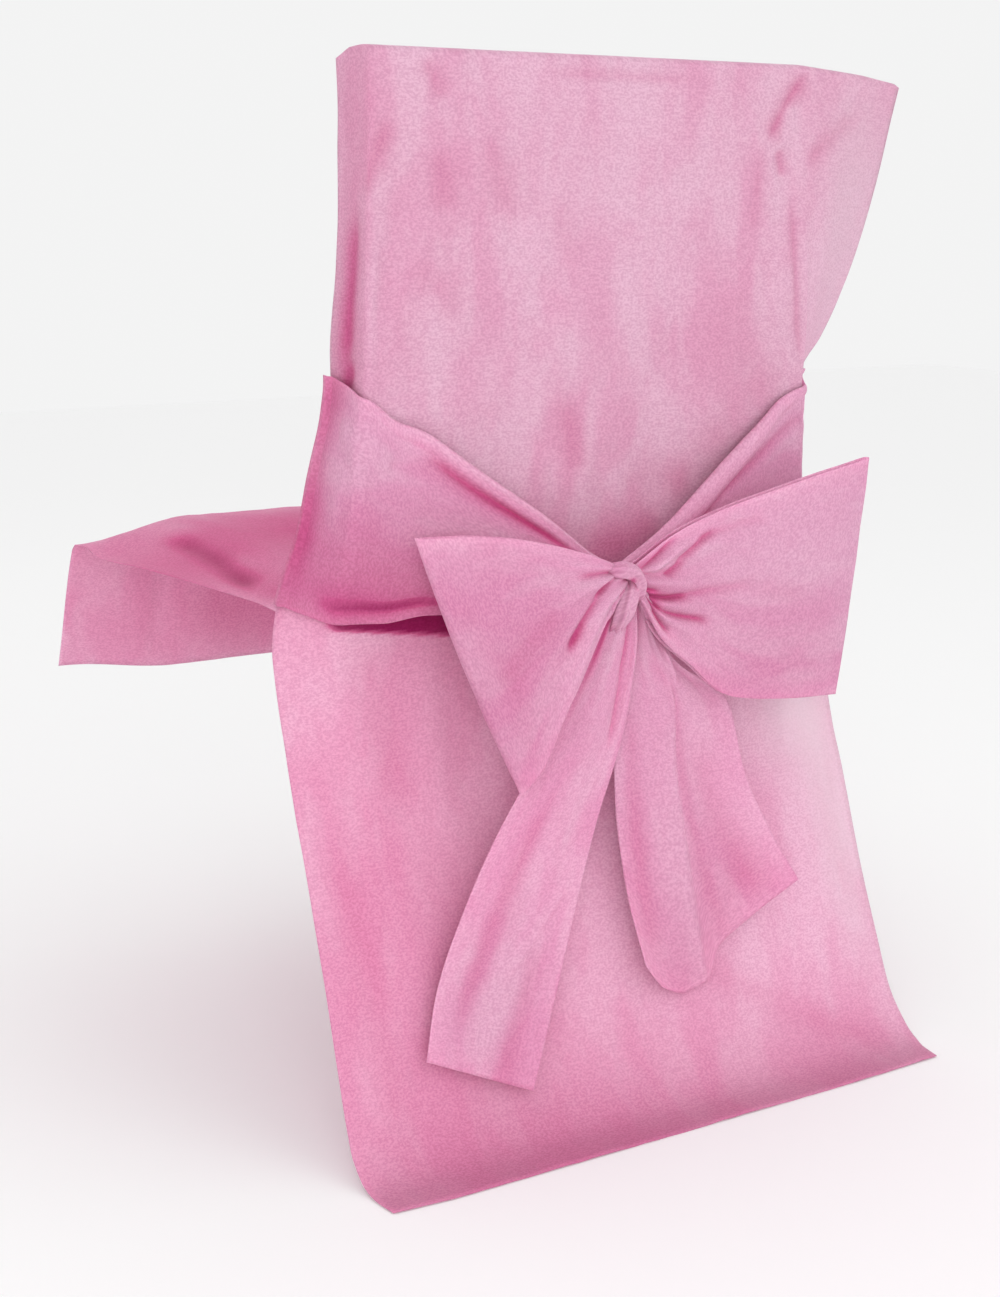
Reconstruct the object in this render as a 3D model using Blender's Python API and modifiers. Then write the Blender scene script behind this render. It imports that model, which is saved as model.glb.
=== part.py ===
"""A chair cover with a wide sash tied in a bow behind the backrest.

Metres, +Z up. The origin is under the top of the cover, where the top rail of the chair
carries it. +Y points to the back of the chair, where the bow is, and +X to the left of
someone who looks at the bow. The tables below are measured from the floor and from the
back face of the rail, and one empty moves everything to the origin.
"""

from collections import namedtuple
import math

import bmesh
import bpy
import numpy as np

OBJECT = "chair_cover"

# Driving sizes
TOP_HEIGHT = 0.870          # top of the cover above the floor
RAIL_DEPTH = 0.034          # front to back, outside the cloth
PANEL_WIDTH = 0.560         # flat width of the strip
SHEET = 0.0015              # thickness of the cloth
FIT_GAP = 0.0004            # air between two pieces that touch
SEAM_END = 0.436            # how far the side seams run down from the top fold
BACK_HEM = 0.938            # length of the back panel
FRONT_HEM = 0.940           # length of the front panel, seat and front flap
SEAT_HALF = 0.205           # half the width on which the seat carries the cloth
EAR_GAP = 0.008             # thickness of the spare cloth that stands out at the right
CORNER_ROUND = 0.006        # share of the width over which a corner is rounded
POST_LEFT = 0.090           # where the posts of the backrest lie, as shares of the width
POST_RIGHT = 0.825
KNOT_CENTRE = (0.002, 0.040, 0.452)
KNOT_HALF = (0.024, 0.020, 0.020)
LOOP_DEPTH = 0.016          # between the two layers of a loop, at its fold
LOOP_WAIST = 0.62           # the same depth at the knot, as a share of it
LOOP_TURN = 0.8             # how far the fold of a loop stands out, as a share of its radius
TOP_RISE = 0.004            # how far the cloth rises over the rail between its two edges
EDGE_FADE = 0.05            # share of the width over which folds die out at a seam
HEM_FADE = 0.03             # the same at a free edge of the seat panel

# How finely each sheet is divided, along its length and across its width
SASH_STEPS = (22, 12)
LOOP_STEPS = (12, 14)
TAIL_STEPS = (16, 13)
LOOP_TURN_STEPS = 5
KNOT_STEPS = (24, 16)
# Runs down the cover at which it has a row of points, closer together where it bends
BAG_RUNS = (
    (0.004, 0.02, 0.05, 0.09, 0.13, 0.17, 0.205, 0.235, 0.255, 0.275)
    + (0.31, 0.35, 0.39, 0.415, SEAM_END)
)
SKIRT_RUNS = (
    (0.455, 0.49, 0.53, 0.57, 0.62, 0.68, 0.75, 0.805, 0.848)
    + (0.868, 0.884, 0.90, 0.918, BACK_HEM)
)
SEAT_RUNS = (
    (0.455, 0.49, 0.54, 0.59, 0.64, 0.69, 0.74, 0.765)
    + (0.778, 0.790, 0.803, 0.84, 0.89, FRONT_HEM)
)
# Across the cover: the bend at the left post, the flat middle and the right ear
LEFT_SHARES = (0, 0.02, 0.045, 0.075, 0.105, 0.135)
MIDDLE_SHARES = (0.19, 0.245, 0.30, 0.355, 0.41, 0.465, 0.52, 0.575, 0.63, 0.685, 0.74)
RIGHT_SHARES = (0.785, 0.812, 0.838, 0.87, 0.91, 0.95, 0.986, 1)

# The back panel, one row for each height. Run is the length of cloth from the top fold.
BackRow = namedtuple(
    "BackRow",
    "run post_y post_z left_x left_y left_z post_l_x post_r_x right_x right_y right_z",
)
BACK = (
    BackRow(0.000, 0.000, 0.870, 0.219, -0.038, 0.866, 0.209, -0.209, -0.322, -0.006, 0.859),
    BackRow(0.040, 0.000, 0.830, 0.219, -0.036, 0.828, 0.210, -0.211, -0.313, -0.007, 0.823),
    BackRow(0.080, 0.000, 0.790, 0.220, -0.036, 0.789, 0.211, -0.212, -0.303, -0.007, 0.784),
    BackRow(0.120, 0.000, 0.750, 0.220, -0.037, 0.750, 0.212, -0.213, -0.291, -0.007, 0.745),
    BackRow(0.160, -0.001, 0.710, 0.221, -0.040, 0.710, 0.213, -0.214, -0.277, -0.007, 0.707),
    BackRow(0.200, -0.001, 0.670, 0.221, -0.049, 0.670, 0.215, -0.215, -0.259, -0.008, 0.668),
    BackRow(0.230, -0.002, 0.640, 0.222, -0.056, 0.640, 0.217, -0.217, -0.243, -0.010, 0.640),
    BackRow(0.255, -0.003, 0.615, 0.223, -0.058, 0.618, 0.221, -0.220, -0.227, -0.018, 0.614),
    BackRow(0.280, -0.004, 0.590, 0.227, -0.060, 0.592, 0.222, -0.220, -0.226, -0.034, 0.590),
    BackRow(0.330, -0.008, 0.540, 0.240, -0.062, 0.540, 0.223, -0.221, -0.232, -0.050, 0.540),
    BackRow(0.380, -0.013, 0.490, 0.256, -0.059, 0.490, 0.227, -0.225, -0.250, -0.056, 0.490),
    BackRow(0.415, -0.018, 0.455, 0.270, -0.054, 0.457, 0.232, -0.224, -0.268, -0.053, 0.457),
    BackRow(0.436, -0.021, 0.434, 0.276, -0.049, 0.437, 0.235, -0.216, -0.277, -0.048, 0.437),
    BackRow(0.470, -0.023, 0.400, 0.285, -0.037, 0.400, 0.234, -0.195, -0.285, -0.037, 0.400),
    BackRow(0.510, -0.022, 0.360, 0.283, -0.032, 0.360, 0.232, -0.184, -0.283, -0.032, 0.360),
    BackRow(0.550, -0.019, 0.320, 0.280, -0.026, 0.320, 0.230, -0.182, -0.280, -0.026, 0.320),
    BackRow(0.591, -0.012, 0.280, 0.279, -0.015, 0.280, 0.229, -0.181, -0.280, -0.015, 0.280),
    BackRow(0.634, 0.001, 0.240, 0.279, 0.001, 0.240, 0.229, -0.181, -0.280, 0.001, 0.240),
    BackRow(0.719, 0.031, 0.160, 0.279, 0.030, 0.160, 0.229, -0.181, -0.280, 0.030, 0.160),
    BackRow(0.805, 0.061, 0.080, 0.281, 0.061, 0.080, 0.230, -0.183, -0.282, 0.061, 0.080),
    BackRow(0.848, 0.077, 0.040, 0.282, 0.077, 0.040, 0.231, -0.183, -0.284, 0.077, 0.040),
    BackRow(0.873, 0.092, 0.020, 0.284, 0.092, 0.020, 0.231, -0.183, -0.285, 0.092, 0.020),
    BackRow(0.895, 0.111, 0.006, 0.284, 0.111, 0.006, 0.230, -0.183, -0.284, 0.111, 0.006),
    BackRow(0.915, 0.130, 0.002, 0.282, 0.130, 0.002, 0.229, -0.182, -0.280, 0.130, 0.002),
    BackRow(0.938, 0.153, 0.002, 0.279, 0.149, 0.002, 0.228, -0.181, -0.277, 0.150, 0.002),
)

# The front panel down to the ends of the side seams, whose edges are the back panel's.
FrontRow = namedtuple("FrontRow", "run post_y post_z post_l_x post_r_x")
FRONT = (
    FrontRow(0.000, -0.034, 0.870, 0.205, -0.206),
    FrontRow(0.200, -0.037, 0.670, 0.206, -0.208),
    FrontRow(0.255, -0.042, 0.615, 0.207, -0.209),
    FrontRow(0.330, -0.052, 0.540, 0.208, -0.208),
    FrontRow(0.380, -0.060, 0.492, 0.212, -0.208),
    FrontRow(0.415, -0.070, 0.468, 0.220, -0.205),
    FrontRow(0.436, -0.086, 0.459, 0.226, -0.195),
)

# The seat panel and the front flap, from the seam ends to the front hem.
SeatRow = namedtuple(
    "SeatRow", "run mid_y mid_z left_x left_y left_z right_x right_y right_z"
)
SEAT = (
    SeatRow(0.470, -0.118, 0.459, 0.280, -0.075, 0.440, -0.276, -0.075, 0.442),
    SeatRow(0.530, -0.178, 0.460, 0.287, -0.140, 0.440, -0.271, -0.140, 0.443),
    SeatRow(0.600, -0.248, 0.461, 0.294, -0.215, 0.439, -0.266, -0.215, 0.443),
    SeatRow(0.670, -0.318, 0.462, 0.301, -0.295, 0.437, -0.262, -0.295, 0.442),
    SeatRow(0.730, -0.375, 0.462, 0.309, -0.367, 0.434, -0.258, -0.360, 0.440),
    SeatRow(0.765, -0.408, 0.461, 0.313, -0.408, 0.441, -0.255, -0.400, 0.442),
    SeatRow(0.785, -0.426, 0.453, 0.315, -0.427, 0.439, -0.255, -0.420, 0.439),
    SeatRow(0.800, -0.434, 0.440, 0.316, -0.435, 0.427, -0.255, -0.430, 0.427),
    SeatRow(0.840, -0.443, 0.401, 0.319, -0.445, 0.392, -0.257, -0.441, 0.393),
    SeatRow(0.890, -0.451, 0.349, 0.322, -0.454, 0.352, -0.260, -0.449, 0.352),
    SeatRow(0.940, -0.457, 0.298, 0.326, -0.460, 0.315, -0.262, -0.456, 0.309),
)

# Folds pressed into the cover: where they start and end on the flat cloth, as the share
# across and the run, then their height (a trough is negative) and their half width.
Fold = namedtuple("Fold", "across_a run_a across_b run_b height half_width")
BACK_FOLDS = (
    Fold(0.820, 0.010, 0.770, 0.140, -0.004, 0.012),
    Fold(0.900, 0.030, 0.870, 0.230, 0.003, 0.016),
    Fold(0.780, 0.020, 0.800, 0.230, 0.003, 0.014),
    Fold(0.150, 0.090, 0.100, 0.230, -0.004, 0.014),
    Fold(0.270, 0.180, 0.300, 0.360, -0.003, 0.030),
    Fold(0.420, 0.140, 0.440, 0.380, 0.003, 0.028),
    Fold(0.570, 0.200, 0.560, 0.390, -0.004, 0.024),
    Fold(0.690, 0.160, 0.660, 0.350, 0.003, 0.026),
    Fold(0.110, 0.480, 0.130, 0.840, 0.003, 0.030),
    Fold(0.320, 0.500, 0.300, 0.900, -0.004, 0.050),
    Fold(0.600, 0.520, 0.640, 0.900, 0.004, 0.060),
    Fold(0.840, 0.480, 0.860, 0.860, -0.003, 0.030),
)
FRONT_FOLDS = (
    Fold(0.200, 0.080, 0.230, 0.400, -0.003, 0.030),
    Fold(0.480, 0.120, 0.460, 0.400, 0.003, 0.034),
    Fold(0.720, 0.060, 0.700, 0.400, -0.003, 0.028),
)
SEAT_FOLDS = (
    Fold(0.050, 0.490, 0.120, 0.720, -0.007, 0.022),
    Fold(0.330, 0.500, 0.300, 0.760, 0.003, 0.040),
    Fold(0.700, 0.480, 0.740, 0.760, -0.004, 0.034),
    Fold(0.260, 0.800, 0.250, 0.940, -0.005, 0.030),
    Fold(0.620, 0.800, 0.640, 0.940, 0.006, 0.036),
)

# A sash lies on the back panel. Its two edges are given by the share across the panel,
# the run down it, and how far they stand off it.
SashRow = namedtuple("SashRow", "top_across top_run top_lift low_across low_run low_lift")
SASH_LEFT = (
    SashRow(0.006, 0.250, 0.0024, 0.006, 0.432, 0.0024),
    SashRow(0.045, 0.254, 0.0034, 0.045, 0.438, 0.0040),
    SashRow(0.090, 0.262, 0.0042, 0.095, 0.443, 0.0060),
    SashRow(0.135, 0.281, 0.0050, 0.145, 0.445, 0.0140),
    SashRow(0.172, 0.289, 0.0080, 0.202, 0.440, 0.0250),
    SashRow(0.258, 0.323, 0.0160, 0.270, 0.438, 0.0330),
    SashRow(0.352, 0.360, 0.0240, 0.345, 0.436, 0.0390),
    SashRow(0.425, 0.392, 0.0350, 0.425, 0.433, 0.0420),
    SashRow(0.465, 0.405, 0.0470, 0.465, 0.425, 0.0450),
)
SASH_RIGHT = (
    SashRow(0.994, 0.256, 0.0024, 0.994, 0.432, 0.0024),
    SashRow(0.915, 0.259, 0.0034, 0.930, 0.438, 0.0040),
    SashRow(0.825, 0.264, 0.0042, 0.860, 0.443, 0.0060),
    SashRow(0.774, 0.286, 0.0055, 0.790, 0.445, 0.0130),
    SashRow(0.736, 0.303, 0.0085, 0.740, 0.442, 0.0220),
    SashRow(0.680, 0.330, 0.0140, 0.680, 0.438, 0.0310),
    SashRow(0.615, 0.366, 0.0220, 0.615, 0.434, 0.0380),
    SashRow(0.540, 0.396, 0.0330, 0.540, 0.431, 0.0400),
    SashRow(0.470, 0.408, 0.0520, 0.470, 0.424, 0.0480),
)

# The front layer of a loop, from the knot to its outer fold.
EdgeRow = namedtuple("EdgeRow", "top_x top_y top_z low_x low_y low_z")
LOOP_LEFT = (
    EdgeRow(0.006, 0.051, 0.462, 0.006, 0.052, 0.444),
    EdgeRow(0.034, 0.053, 0.474, 0.024, 0.056, 0.424),
    EdgeRow(0.078, 0.054, 0.488, 0.046, 0.058, 0.386),
    EdgeRow(0.125, 0.055, 0.498, 0.070, 0.061, 0.345),
    EdgeRow(0.166, 0.053, 0.502, 0.088, 0.060, 0.306),
    EdgeRow(0.194, 0.048, 0.502, 0.103, 0.054, 0.286),
)
LOOP_RIGHT = (
    EdgeRow(-0.004, 0.051, 0.464, -0.004, 0.052, 0.444),
    EdgeRow(-0.042, 0.053, 0.487, -0.034, 0.055, 0.420),
    EdgeRow(-0.092, 0.054, 0.504, -0.074, 0.058, 0.372),
    EdgeRow(-0.152, 0.055, 0.518, -0.124, 0.061, 0.348),
    EdgeRow(-0.214, 0.053, 0.530, -0.182, 0.060, 0.337),
    EdgeRow(-0.258, 0.046, 0.536, -0.224, 0.052, 0.326),
)

# A tail, from the knot to its hem. The left and right edges are as seen from behind.
TailRow = namedtuple("TailRow", "left_x left_y left_z right_x right_y right_z")
TAIL_LEFT = (
    TailRow(0.012, 0.036, 0.444, -0.004, 0.037, 0.440),
    TailRow(0.022, 0.034, 0.402, -0.010, 0.038, 0.396),
    TailRow(0.064, 0.034, 0.326, 0.004, 0.040, 0.314),
    TailRow(0.126, 0.038, 0.248, 0.028, 0.047, 0.246),
    TailRow(0.164, 0.046, 0.185, 0.054, 0.056, 0.180),
    TailRow(0.190, 0.058, 0.130, 0.082, 0.068, 0.105),
    TailRow(0.204, 0.075, 0.078, 0.116, 0.089, 0.038),
)
TAIL_RIGHT = (
    TailRow(-0.006, 0.034, 0.444, -0.020, 0.033, 0.444),
    TailRow(-0.018, 0.032, 0.402, -0.058, 0.034, 0.374),
    TailRow(-0.024, 0.031, 0.330, -0.114, 0.038, 0.332),
    TailRow(-0.023, 0.036, 0.255, -0.132, 0.044, 0.262),
    TailRow(-0.016, 0.052, 0.180, -0.155, 0.054, 0.208),
    TailRow(-0.008, 0.074, 0.114, -0.180, 0.064, 0.162),
)
# How much further down the hem of the right tail reaches, by the share across.
HemRow = namedtuple("HemRow", "across drop")
TAIL_RIGHT_HEM = (
    HemRow(0.00, 0.000),
    HemRow(0.12, 0.030),
    HemRow(0.27, 0.046),
    HemRow(0.40, 0.047),
    HemRow(0.47, 0.020),
    HemRow(0.67, 0.010),
    HemRow(1.00, 0.000),
)
TAIL_LEFT_HEM = (HemRow(0.0, 0.0), HemRow(1.0, 0.0))

# Gathers run from the knot into a piece: the share across, their height and half width
# as a share across, and the share of the length over which they die out.
Gather = namedtuple("Gather", "across height half_width reach")
SASH_GATHERS = (
    Gather(0.04, 0.0030, 0.030, 3.00),
    Gather(0.14, -0.0022, 0.040, 0.90),
    Gather(0.42, 0.0025, 0.080, 0.45),
    Gather(0.68, -0.0025, 0.070, 0.45),
    Gather(0.90, -0.0030, 0.035, 1.20),
)
LOOP_GATHERS = (
    Gather(0.10, 0.0030, 0.050, 0.55),
    Gather(0.26, -0.0045, 0.055, 0.65),
    Gather(0.42, 0.0045, 0.060, 0.50),
    Gather(0.56, -0.0050, 0.050, 0.70),
    Gather(0.70, 0.0045, 0.050, 0.60),
    Gather(0.86, -0.0050, 0.050, 0.75),
)
TAIL_LEFT_GATHERS = (
    Gather(0.08, -0.0050, 0.070, 2.00),
    Gather(0.30, 0.0040, 0.090, 0.80),
    Gather(0.58, -0.0040, 0.070, 0.70),
    Gather(0.85, 0.0040, 0.080, 0.60),
)
TAIL_RIGHT_GATHERS = (
    Gather(0.10, 0.0040, 0.080, 1.60),
    Gather(0.36, -0.0070, 0.060, 3.00),
    Gather(0.55, 0.0050, 0.080, 1.50),
    Gather(0.80, -0.0040, 0.080, 0.90),
)

# Grooves between the turns of the knot, in a ball of radius 1: each lies where
# by_x * x + by_z * z is its place.
Groove = namedtuple("Groove", "by_x by_z place half_width depth")
KNOT_GROOVES = (
    Groove(-0.35, 1.00, -0.10, 0.16, 0.10),
    Groove(1.00, 0.30, 0.55, 0.14, 0.08),
)

PINK = (0.80, 0.33, 0.53, 1.0)


def through(stations, values, at):
    """Values on a smooth curve through the stations that never overshoots them."""
    stations = np.asarray(stations, float)
    values = np.asarray(values, float)
    steps = np.diff(stations)[:, None]
    slopes = np.diff(values, axis=0) / steps
    before, after = slopes[:-1], slopes[1:]
    same_way = before * after > 0
    inner = np.where(same_way, 2 * before * after / np.where(same_way, before + after, 1), 0)
    tangents = np.vstack([slopes[:1], inner, slopes[-1:]])
    at = np.clip(np.atleast_1d(at).astype(float), stations[0], stations[-1])
    span = np.clip(np.searchsorted(stations, at, side="right") - 1, 0, len(steps) - 1)
    step = steps[span]
    part = (at - stations[span])[:, None] / step
    start, end = values[span], values[span + 1]
    leave, arrive = tangents[span] * step, tangents[span + 1] * step
    bend = 3 * (end - start) - 2 * leave - arrive
    twist = 2 * (start - end) + leave + arrive
    return start + part * (leave + part * (bend + part * twist))


def smooth_step(value):
    value = np.clip(value, 0.0, 1.0)
    return value * value * (3 - 2 * value)


def rounded(across, marks, points):
    """Points across a section through its marks, with the corners at the marks rounded."""
    total = 0
    offsets = (-1.0, -0.5, 0.0, 0.5, 1.0)
    for offset in offsets:
        at = np.clip(across + offset * CORNER_ROUND, 0, 1)
        total = total + np.stack([np.interp(at, marks, column) for column in points.T], -1)
    section = total / len(offsets)
    at_edge = (across <= 0) | (across >= 1)
    ends = np.stack([np.interp(across, marks, column) for column in points.T], -1)
    return np.where(at_edge[:, None], ends, section)


def ear_puff(across):
    """Half the thickness of the right ear, from nothing at the seam and at the post."""
    share = np.clip((1 - across) / (1 - POST_RIGHT), 0, 1)
    return EAR_GAP / 2 * smooth_step(share / 0.08) * (1 - share)


def back_section(across, run):
    """Points of the back panel at one run, from its left edge to its right edge."""
    row = BackRow(run, *through([r.run for r in BACK], [r[1:] for r in BACK], run)[0])
    marks = (0, POST_LEFT, POST_RIGHT, 1)
    points = np.array(
        [
            (row.left_x, row.left_y, row.left_z),
            (row.post_l_x, row.post_y, row.post_z),
            (row.post_r_x, row.post_y, row.post_z),
            (row.right_x, row.right_y, row.right_z),
        ]
    )
    section = rounded(across, marks, points)
    section[:, 1] += ear_puff(across) * (run < SEAM_END)
    return section


def front_section(across, run):
    """Points of the front panel at one run, between the same two seams."""
    row = FrontRow(run, *through([r.run for r in FRONT], [r[1:] for r in FRONT], run)[0])
    edges = back_section(np.array([0.0, 1.0]), run)
    marks = (0, POST_LEFT, POST_RIGHT, 1)
    points = np.array(
        [
            edges[0],
            (row.post_l_x, row.post_y, row.post_z),
            (row.post_r_x, row.post_y, row.post_z),
            edges[1],
        ]
    )
    section = rounded(across, marks, points)
    section[:, 1] -= ear_puff(across)
    return section


def seat_section(across, run):
    """Points of the seat panel or the front flap at one run."""
    row = SeatRow(run, *through([r.run for r in SEAT], [r[1:] for r in SEAT], run)[0])
    x = row.left_x + (row.right_x - row.left_x) * across
    on_left = x > 0
    reach = np.where(on_left, row.left_x, -row.right_x) - SEAT_HALF
    past = smooth_step((np.abs(x) - SEAT_HALF) / reach)
    edge_y = np.where(on_left, row.left_y, row.right_y)
    edge_z = np.where(on_left, row.left_z, row.right_z)
    y = row.mid_y + (edge_y - row.mid_y) * past
    z = row.mid_z + (edge_z - row.mid_z) * past
    return np.stack([x, y, z], -1)


def grid_normals(grid):
    """Unit normals of a grid of points, columns crossed with rows."""
    along = np.gradient(grid, axis=0)
    across = np.gradient(grid, axis=1)
    normals = np.cross(across, along)
    length = np.linalg.norm(normals, axis=-1, keepdims=True)
    return normals / np.maximum(length, 1e-9)


def fold_heights(across, runs, folds):
    """How far the folds lift each point of a panel off its flat shape."""
    x = across[None, :] * PANEL_WIDTH
    y = runs[:, None]
    heights = np.zeros((len(runs), len(across)))
    for fold in folds:
        start = np.array([fold.across_a * PANEL_WIDTH, fold.run_a])
        line = np.array([fold.across_b * PANEL_WIDTH, fold.run_b]) - start
        length = np.linalg.norm(line)
        share = ((x - start[0]) * line[0] + (y - start[1]) * line[1]) / length**2
        off = ((x - start[0]) * line[1] - (y - start[1]) * line[0]) / length
        taper = smooth_step(share / 0.25) * smooth_step((1 - share) / 0.25)
        heights += fold.height * taper * np.exp(-((off / fold.half_width) ** 2))
    return heights


def pressed(grid, across, runs, folds, edge_fade):
    """The panel with its folds, which die out towards its side edges."""
    fade = smooth_step(across / edge_fade) * smooth_step((1 - across) / edge_fade)
    heights = fold_heights(across, runs, folds) * fade[None, :]
    return grid + grid_normals(grid) * heights[..., None]


def cover_grid():
    """The whole strip, from the rear hem up and over the rail to the front hem."""
    across = np.array(LEFT_SHARES + MIDDLE_SHARES + RIGHT_SHARES)
    back_runs = np.array(SKIRT_RUNS[::-1] + BAG_RUNS[::-1])
    back = np.array([back_section(across, run) for run in back_runs])
    back = pressed(back, across, back_runs, BACK_FOLDS, EDGE_FADE)
    front = np.array([front_section(across, run) for run in BAG_RUNS])
    front = pressed(front, across, np.array(BAG_RUNS), FRONT_FOLDS, EDGE_FADE)
    seat = np.array([seat_section(across, run) for run in SEAT_RUNS])
    seat = pressed(seat, across, np.array(SEAT_RUNS), SEAT_FOLDS, HEM_FADE)
    # Over the rail the cloth rises by a small round, less where the layers meet at a seam.
    depth = np.linalg.norm(front[0] - back[-1], axis=1)
    rise = np.zeros((len(across), 3))
    rise[:, 2] = np.minimum(TOP_RISE, depth * 0.3)
    top = []
    for share, height in ((0.16, 0.8), (0.5, 1.0), (0.84, 0.8)):
        top.append(back[-1] * (1 - share) + front[0] * share + rise * height)
    return np.concatenate([back, np.array(top), front, seat])


def back_point(across, run):
    """A point of the back panel's outer face and its normal there."""
    step = 0.004
    at = np.clip(np.array([across - step, across, across + step]), 0, 1)
    here = back_section(at, run)
    down = back_section(np.array([across]), min(run + step, BACK_HEM))[0]
    normal = np.cross(down - here[1], here[2] - here[0])
    return here[1], normal / np.linalg.norm(normal)


def gathered(grid, gathers, mirror=1):
    """A grid whose first row is at the knot, with the gathers that run out from it."""
    length = np.linspace(0, 1, grid.shape[0])[:, None]
    share = np.linspace(0, 1, grid.shape[1])[None, :]
    heights = np.zeros(grid.shape[:2])
    for gather in gathers:
        ridge = np.exp(-(((share - gather.across) / gather.half_width) ** 2))
        fade = smooth_step(1 - length / gather.reach) * smooth_step(length / 0.06 + 0.15)
        heights += gather.height * ridge * fade
    return grid + mirror * grid_normals(grid) * heights[..., None]


def outside_knot(points):
    """Less than 0 where a point of a sheet would touch the knot."""
    clearance = FIT_GAP + SHEET / 2
    reach = (np.asarray(points) - KNOT_CENTRE) / (np.asarray(KNOT_HALF) + clearance)
    return (reach**2).sum(axis=-1) - 1


def from_knot(grid, rows):
    """The grid with each column starting where it leaves the knot."""
    fine = np.linspace(0, 1, 8 * len(grid))
    stations = np.linspace(0, 1, len(grid))
    columns = []
    for column in grid.transpose(1, 0, 2):
        line = through(stations, column, fine)
        outside = outside_knot(line)
        inside = np.nonzero(outside < 0)[0]
        start = 0.0
        if len(inside):
            last = inside[-1]
            share = outside[last] / (outside[last] - outside[last + 1])
            start = fine[last] + share * (fine[last + 1] - fine[last])
        columns.append(through(stations, column, np.linspace(start, 1, rows)))
    return np.array(columns).transpose(1, 0, 2)


def sash_grid(rows, length_steps, width_steps):
    """A sash from its seam to the knot, returned with its first row at the knot."""
    stations = np.linspace(0, 1, len(rows))
    table = through(stations, np.array(rows), np.linspace(0, 1, length_steps))
    grid = []
    for row in map(SashRow._make, table):
        line = []
        for share in np.linspace(0, 1, width_steps):
            across = row.top_across + (row.low_across - row.top_across) * share
            run = row.top_run + (row.low_run - row.top_run) * share
            lift = row.top_lift + (row.low_lift - row.top_lift) * share
            point, normal = back_point(across, run)
            line.append(point + normal * lift)
        grid.append(line)
    return from_knot(np.array(grid[::-1]), length_steps)


def edges_grid(rows, length_steps, width_steps):
    """Straight lines between two smooth edges."""
    stations = np.linspace(0, 1, len(rows))
    table = through(stations, np.array(rows), np.linspace(0, 1, length_steps))
    share = np.linspace(0, 1, width_steps)[None, :, None]
    return table[:, None, :3] * (1 - share) + table[:, None, 3:] * share


def loop_grid(rows, length_steps, width_steps):
    """Both layers of a loop, out to its fold and back to the knot."""
    front = gathered(edges_grid(rows, length_steps, width_steps), LOOP_GATHERS)
    outward = front[-1] - front[-2]
    outward /= np.linalg.norm(outward, axis=1, keepdims=True)
    length = np.linspace(0, 1, length_steps)[:, None, None]
    back = front.copy()
    back[..., 1] -= (LOOP_DEPTH * (LOOP_WAIST + (1 - LOOP_WAIST) * length))[..., 0]
    front = from_knot(front, length_steps)
    back = from_knot(back, length_steps)
    radius = LOOP_DEPTH / 2
    turn = []
    for angle in np.linspace(0, math.pi, LOOP_TURN_STEPS + 2)[1:-1]:
        line = (front[-1] + back[-1]) / 2
        line = line + outward * radius * LOOP_TURN * math.sin(angle)
        line[:, 1] += radius * math.cos(angle)
        turn.append(line)
    return np.concatenate([front, np.array(turn), back[::-1]])


def tail_grid(rows, hem, gathers, length_steps, width_steps):
    """A tail, each of whose columns ends where the hem is."""
    grid = gathered(edges_grid(rows, length_steps, width_steps), gathers)
    share = np.linspace(0, 1, width_steps)
    drop = through([h.across for h in hem], [[h.drop] for h in hem], share)[:, 0]
    length = np.linspace(0, 1, length_steps)
    grid[..., 2] -= drop[None, :] * smooth_step((length[:, None] - 0.6) / 0.4)
    return from_knot(grid, length_steps)


def mesh_from_grid(name, grid):
    """A mesh over a grid of points, whose faces look along columns crossed with rows."""
    rows, columns = grid.shape[:2]
    mesh = bmesh.new()
    verts = [mesh.verts.new(point) for point in grid.reshape(-1, 3)]
    for row in range(rows - 1):
        for column in range(columns - 1):
            corner = row * columns + column
            mesh.faces.new(
                (
                    verts[corner],
                    verts[corner + 1],
                    verts[corner + columns + 1],
                    verts[corner + columns],
                )
            )
    bmesh.ops.remove_doubles(mesh, verts=mesh.verts, dist=1e-5)
    bmesh.ops.dissolve_degenerate(mesh, edges=mesh.edges, dist=1e-6)
    data = bpy.data.meshes.new(name)
    mesh.to_mesh(data)
    mesh.free()
    return data


def cloth_material(name, colour):
    """Matt spunbonded cloth."""
    material = bpy.data.materials.new(name)
    material.use_nodes = True
    shader = material.node_tree.nodes["Principled BSDF"]
    shader.inputs["Base Color"].default_value = colour
    shader.inputs["Roughness"].default_value = 0.85
    shader.inputs["Metallic"].default_value = 0.0
    return material


def add_part(name, data, collection, holder, colour):
    """A named object of the cover, carried by the empty at the origin."""
    part = bpy.data.objects.new(name, data)
    collection.objects.link(part)
    part.parent = holder
    data.materials.append(cloth_material(name + "_cloth", colour))
    data.shade_smooth()
    return part


def thicken(part, offset):
    """Give a sheet its thickness: offset -1 is inward, 0 is to both sides."""
    solidify = part.modifiers.new("thickness", "SOLIDIFY")
    solidify.thickness = SHEET
    solidify.offset = offset
    solidify.use_even_offset = True


def knot_mesh(name):
    """The knot: a squat ball, with the grooves between the turns of the sash."""
    segments, rings = KNOT_STEPS
    bpy.ops.mesh.primitive_uv_sphere_add(segments=segments, ring_count=rings, radius=1)
    ball = bpy.context.object
    data = ball.data
    data.name = name
    bpy.data.objects.remove(ball)
    for vertex in data.vertices:
        x, y, z = vertex.co
        groove = 0
        for turn in KNOT_GROOVES:
            off = (turn.by_x * x + turn.by_z * z - turn.place) / turn.half_width
            groove += turn.depth * math.exp(-(off**2))
        size = 1 - groove * smooth_step(y + 0.4)
        vertex.co = [
            centre + direction * half * size
            for centre, direction, half in zip(KNOT_CENTRE, (x, y, z), KNOT_HALF)
        ]
    return data


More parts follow.
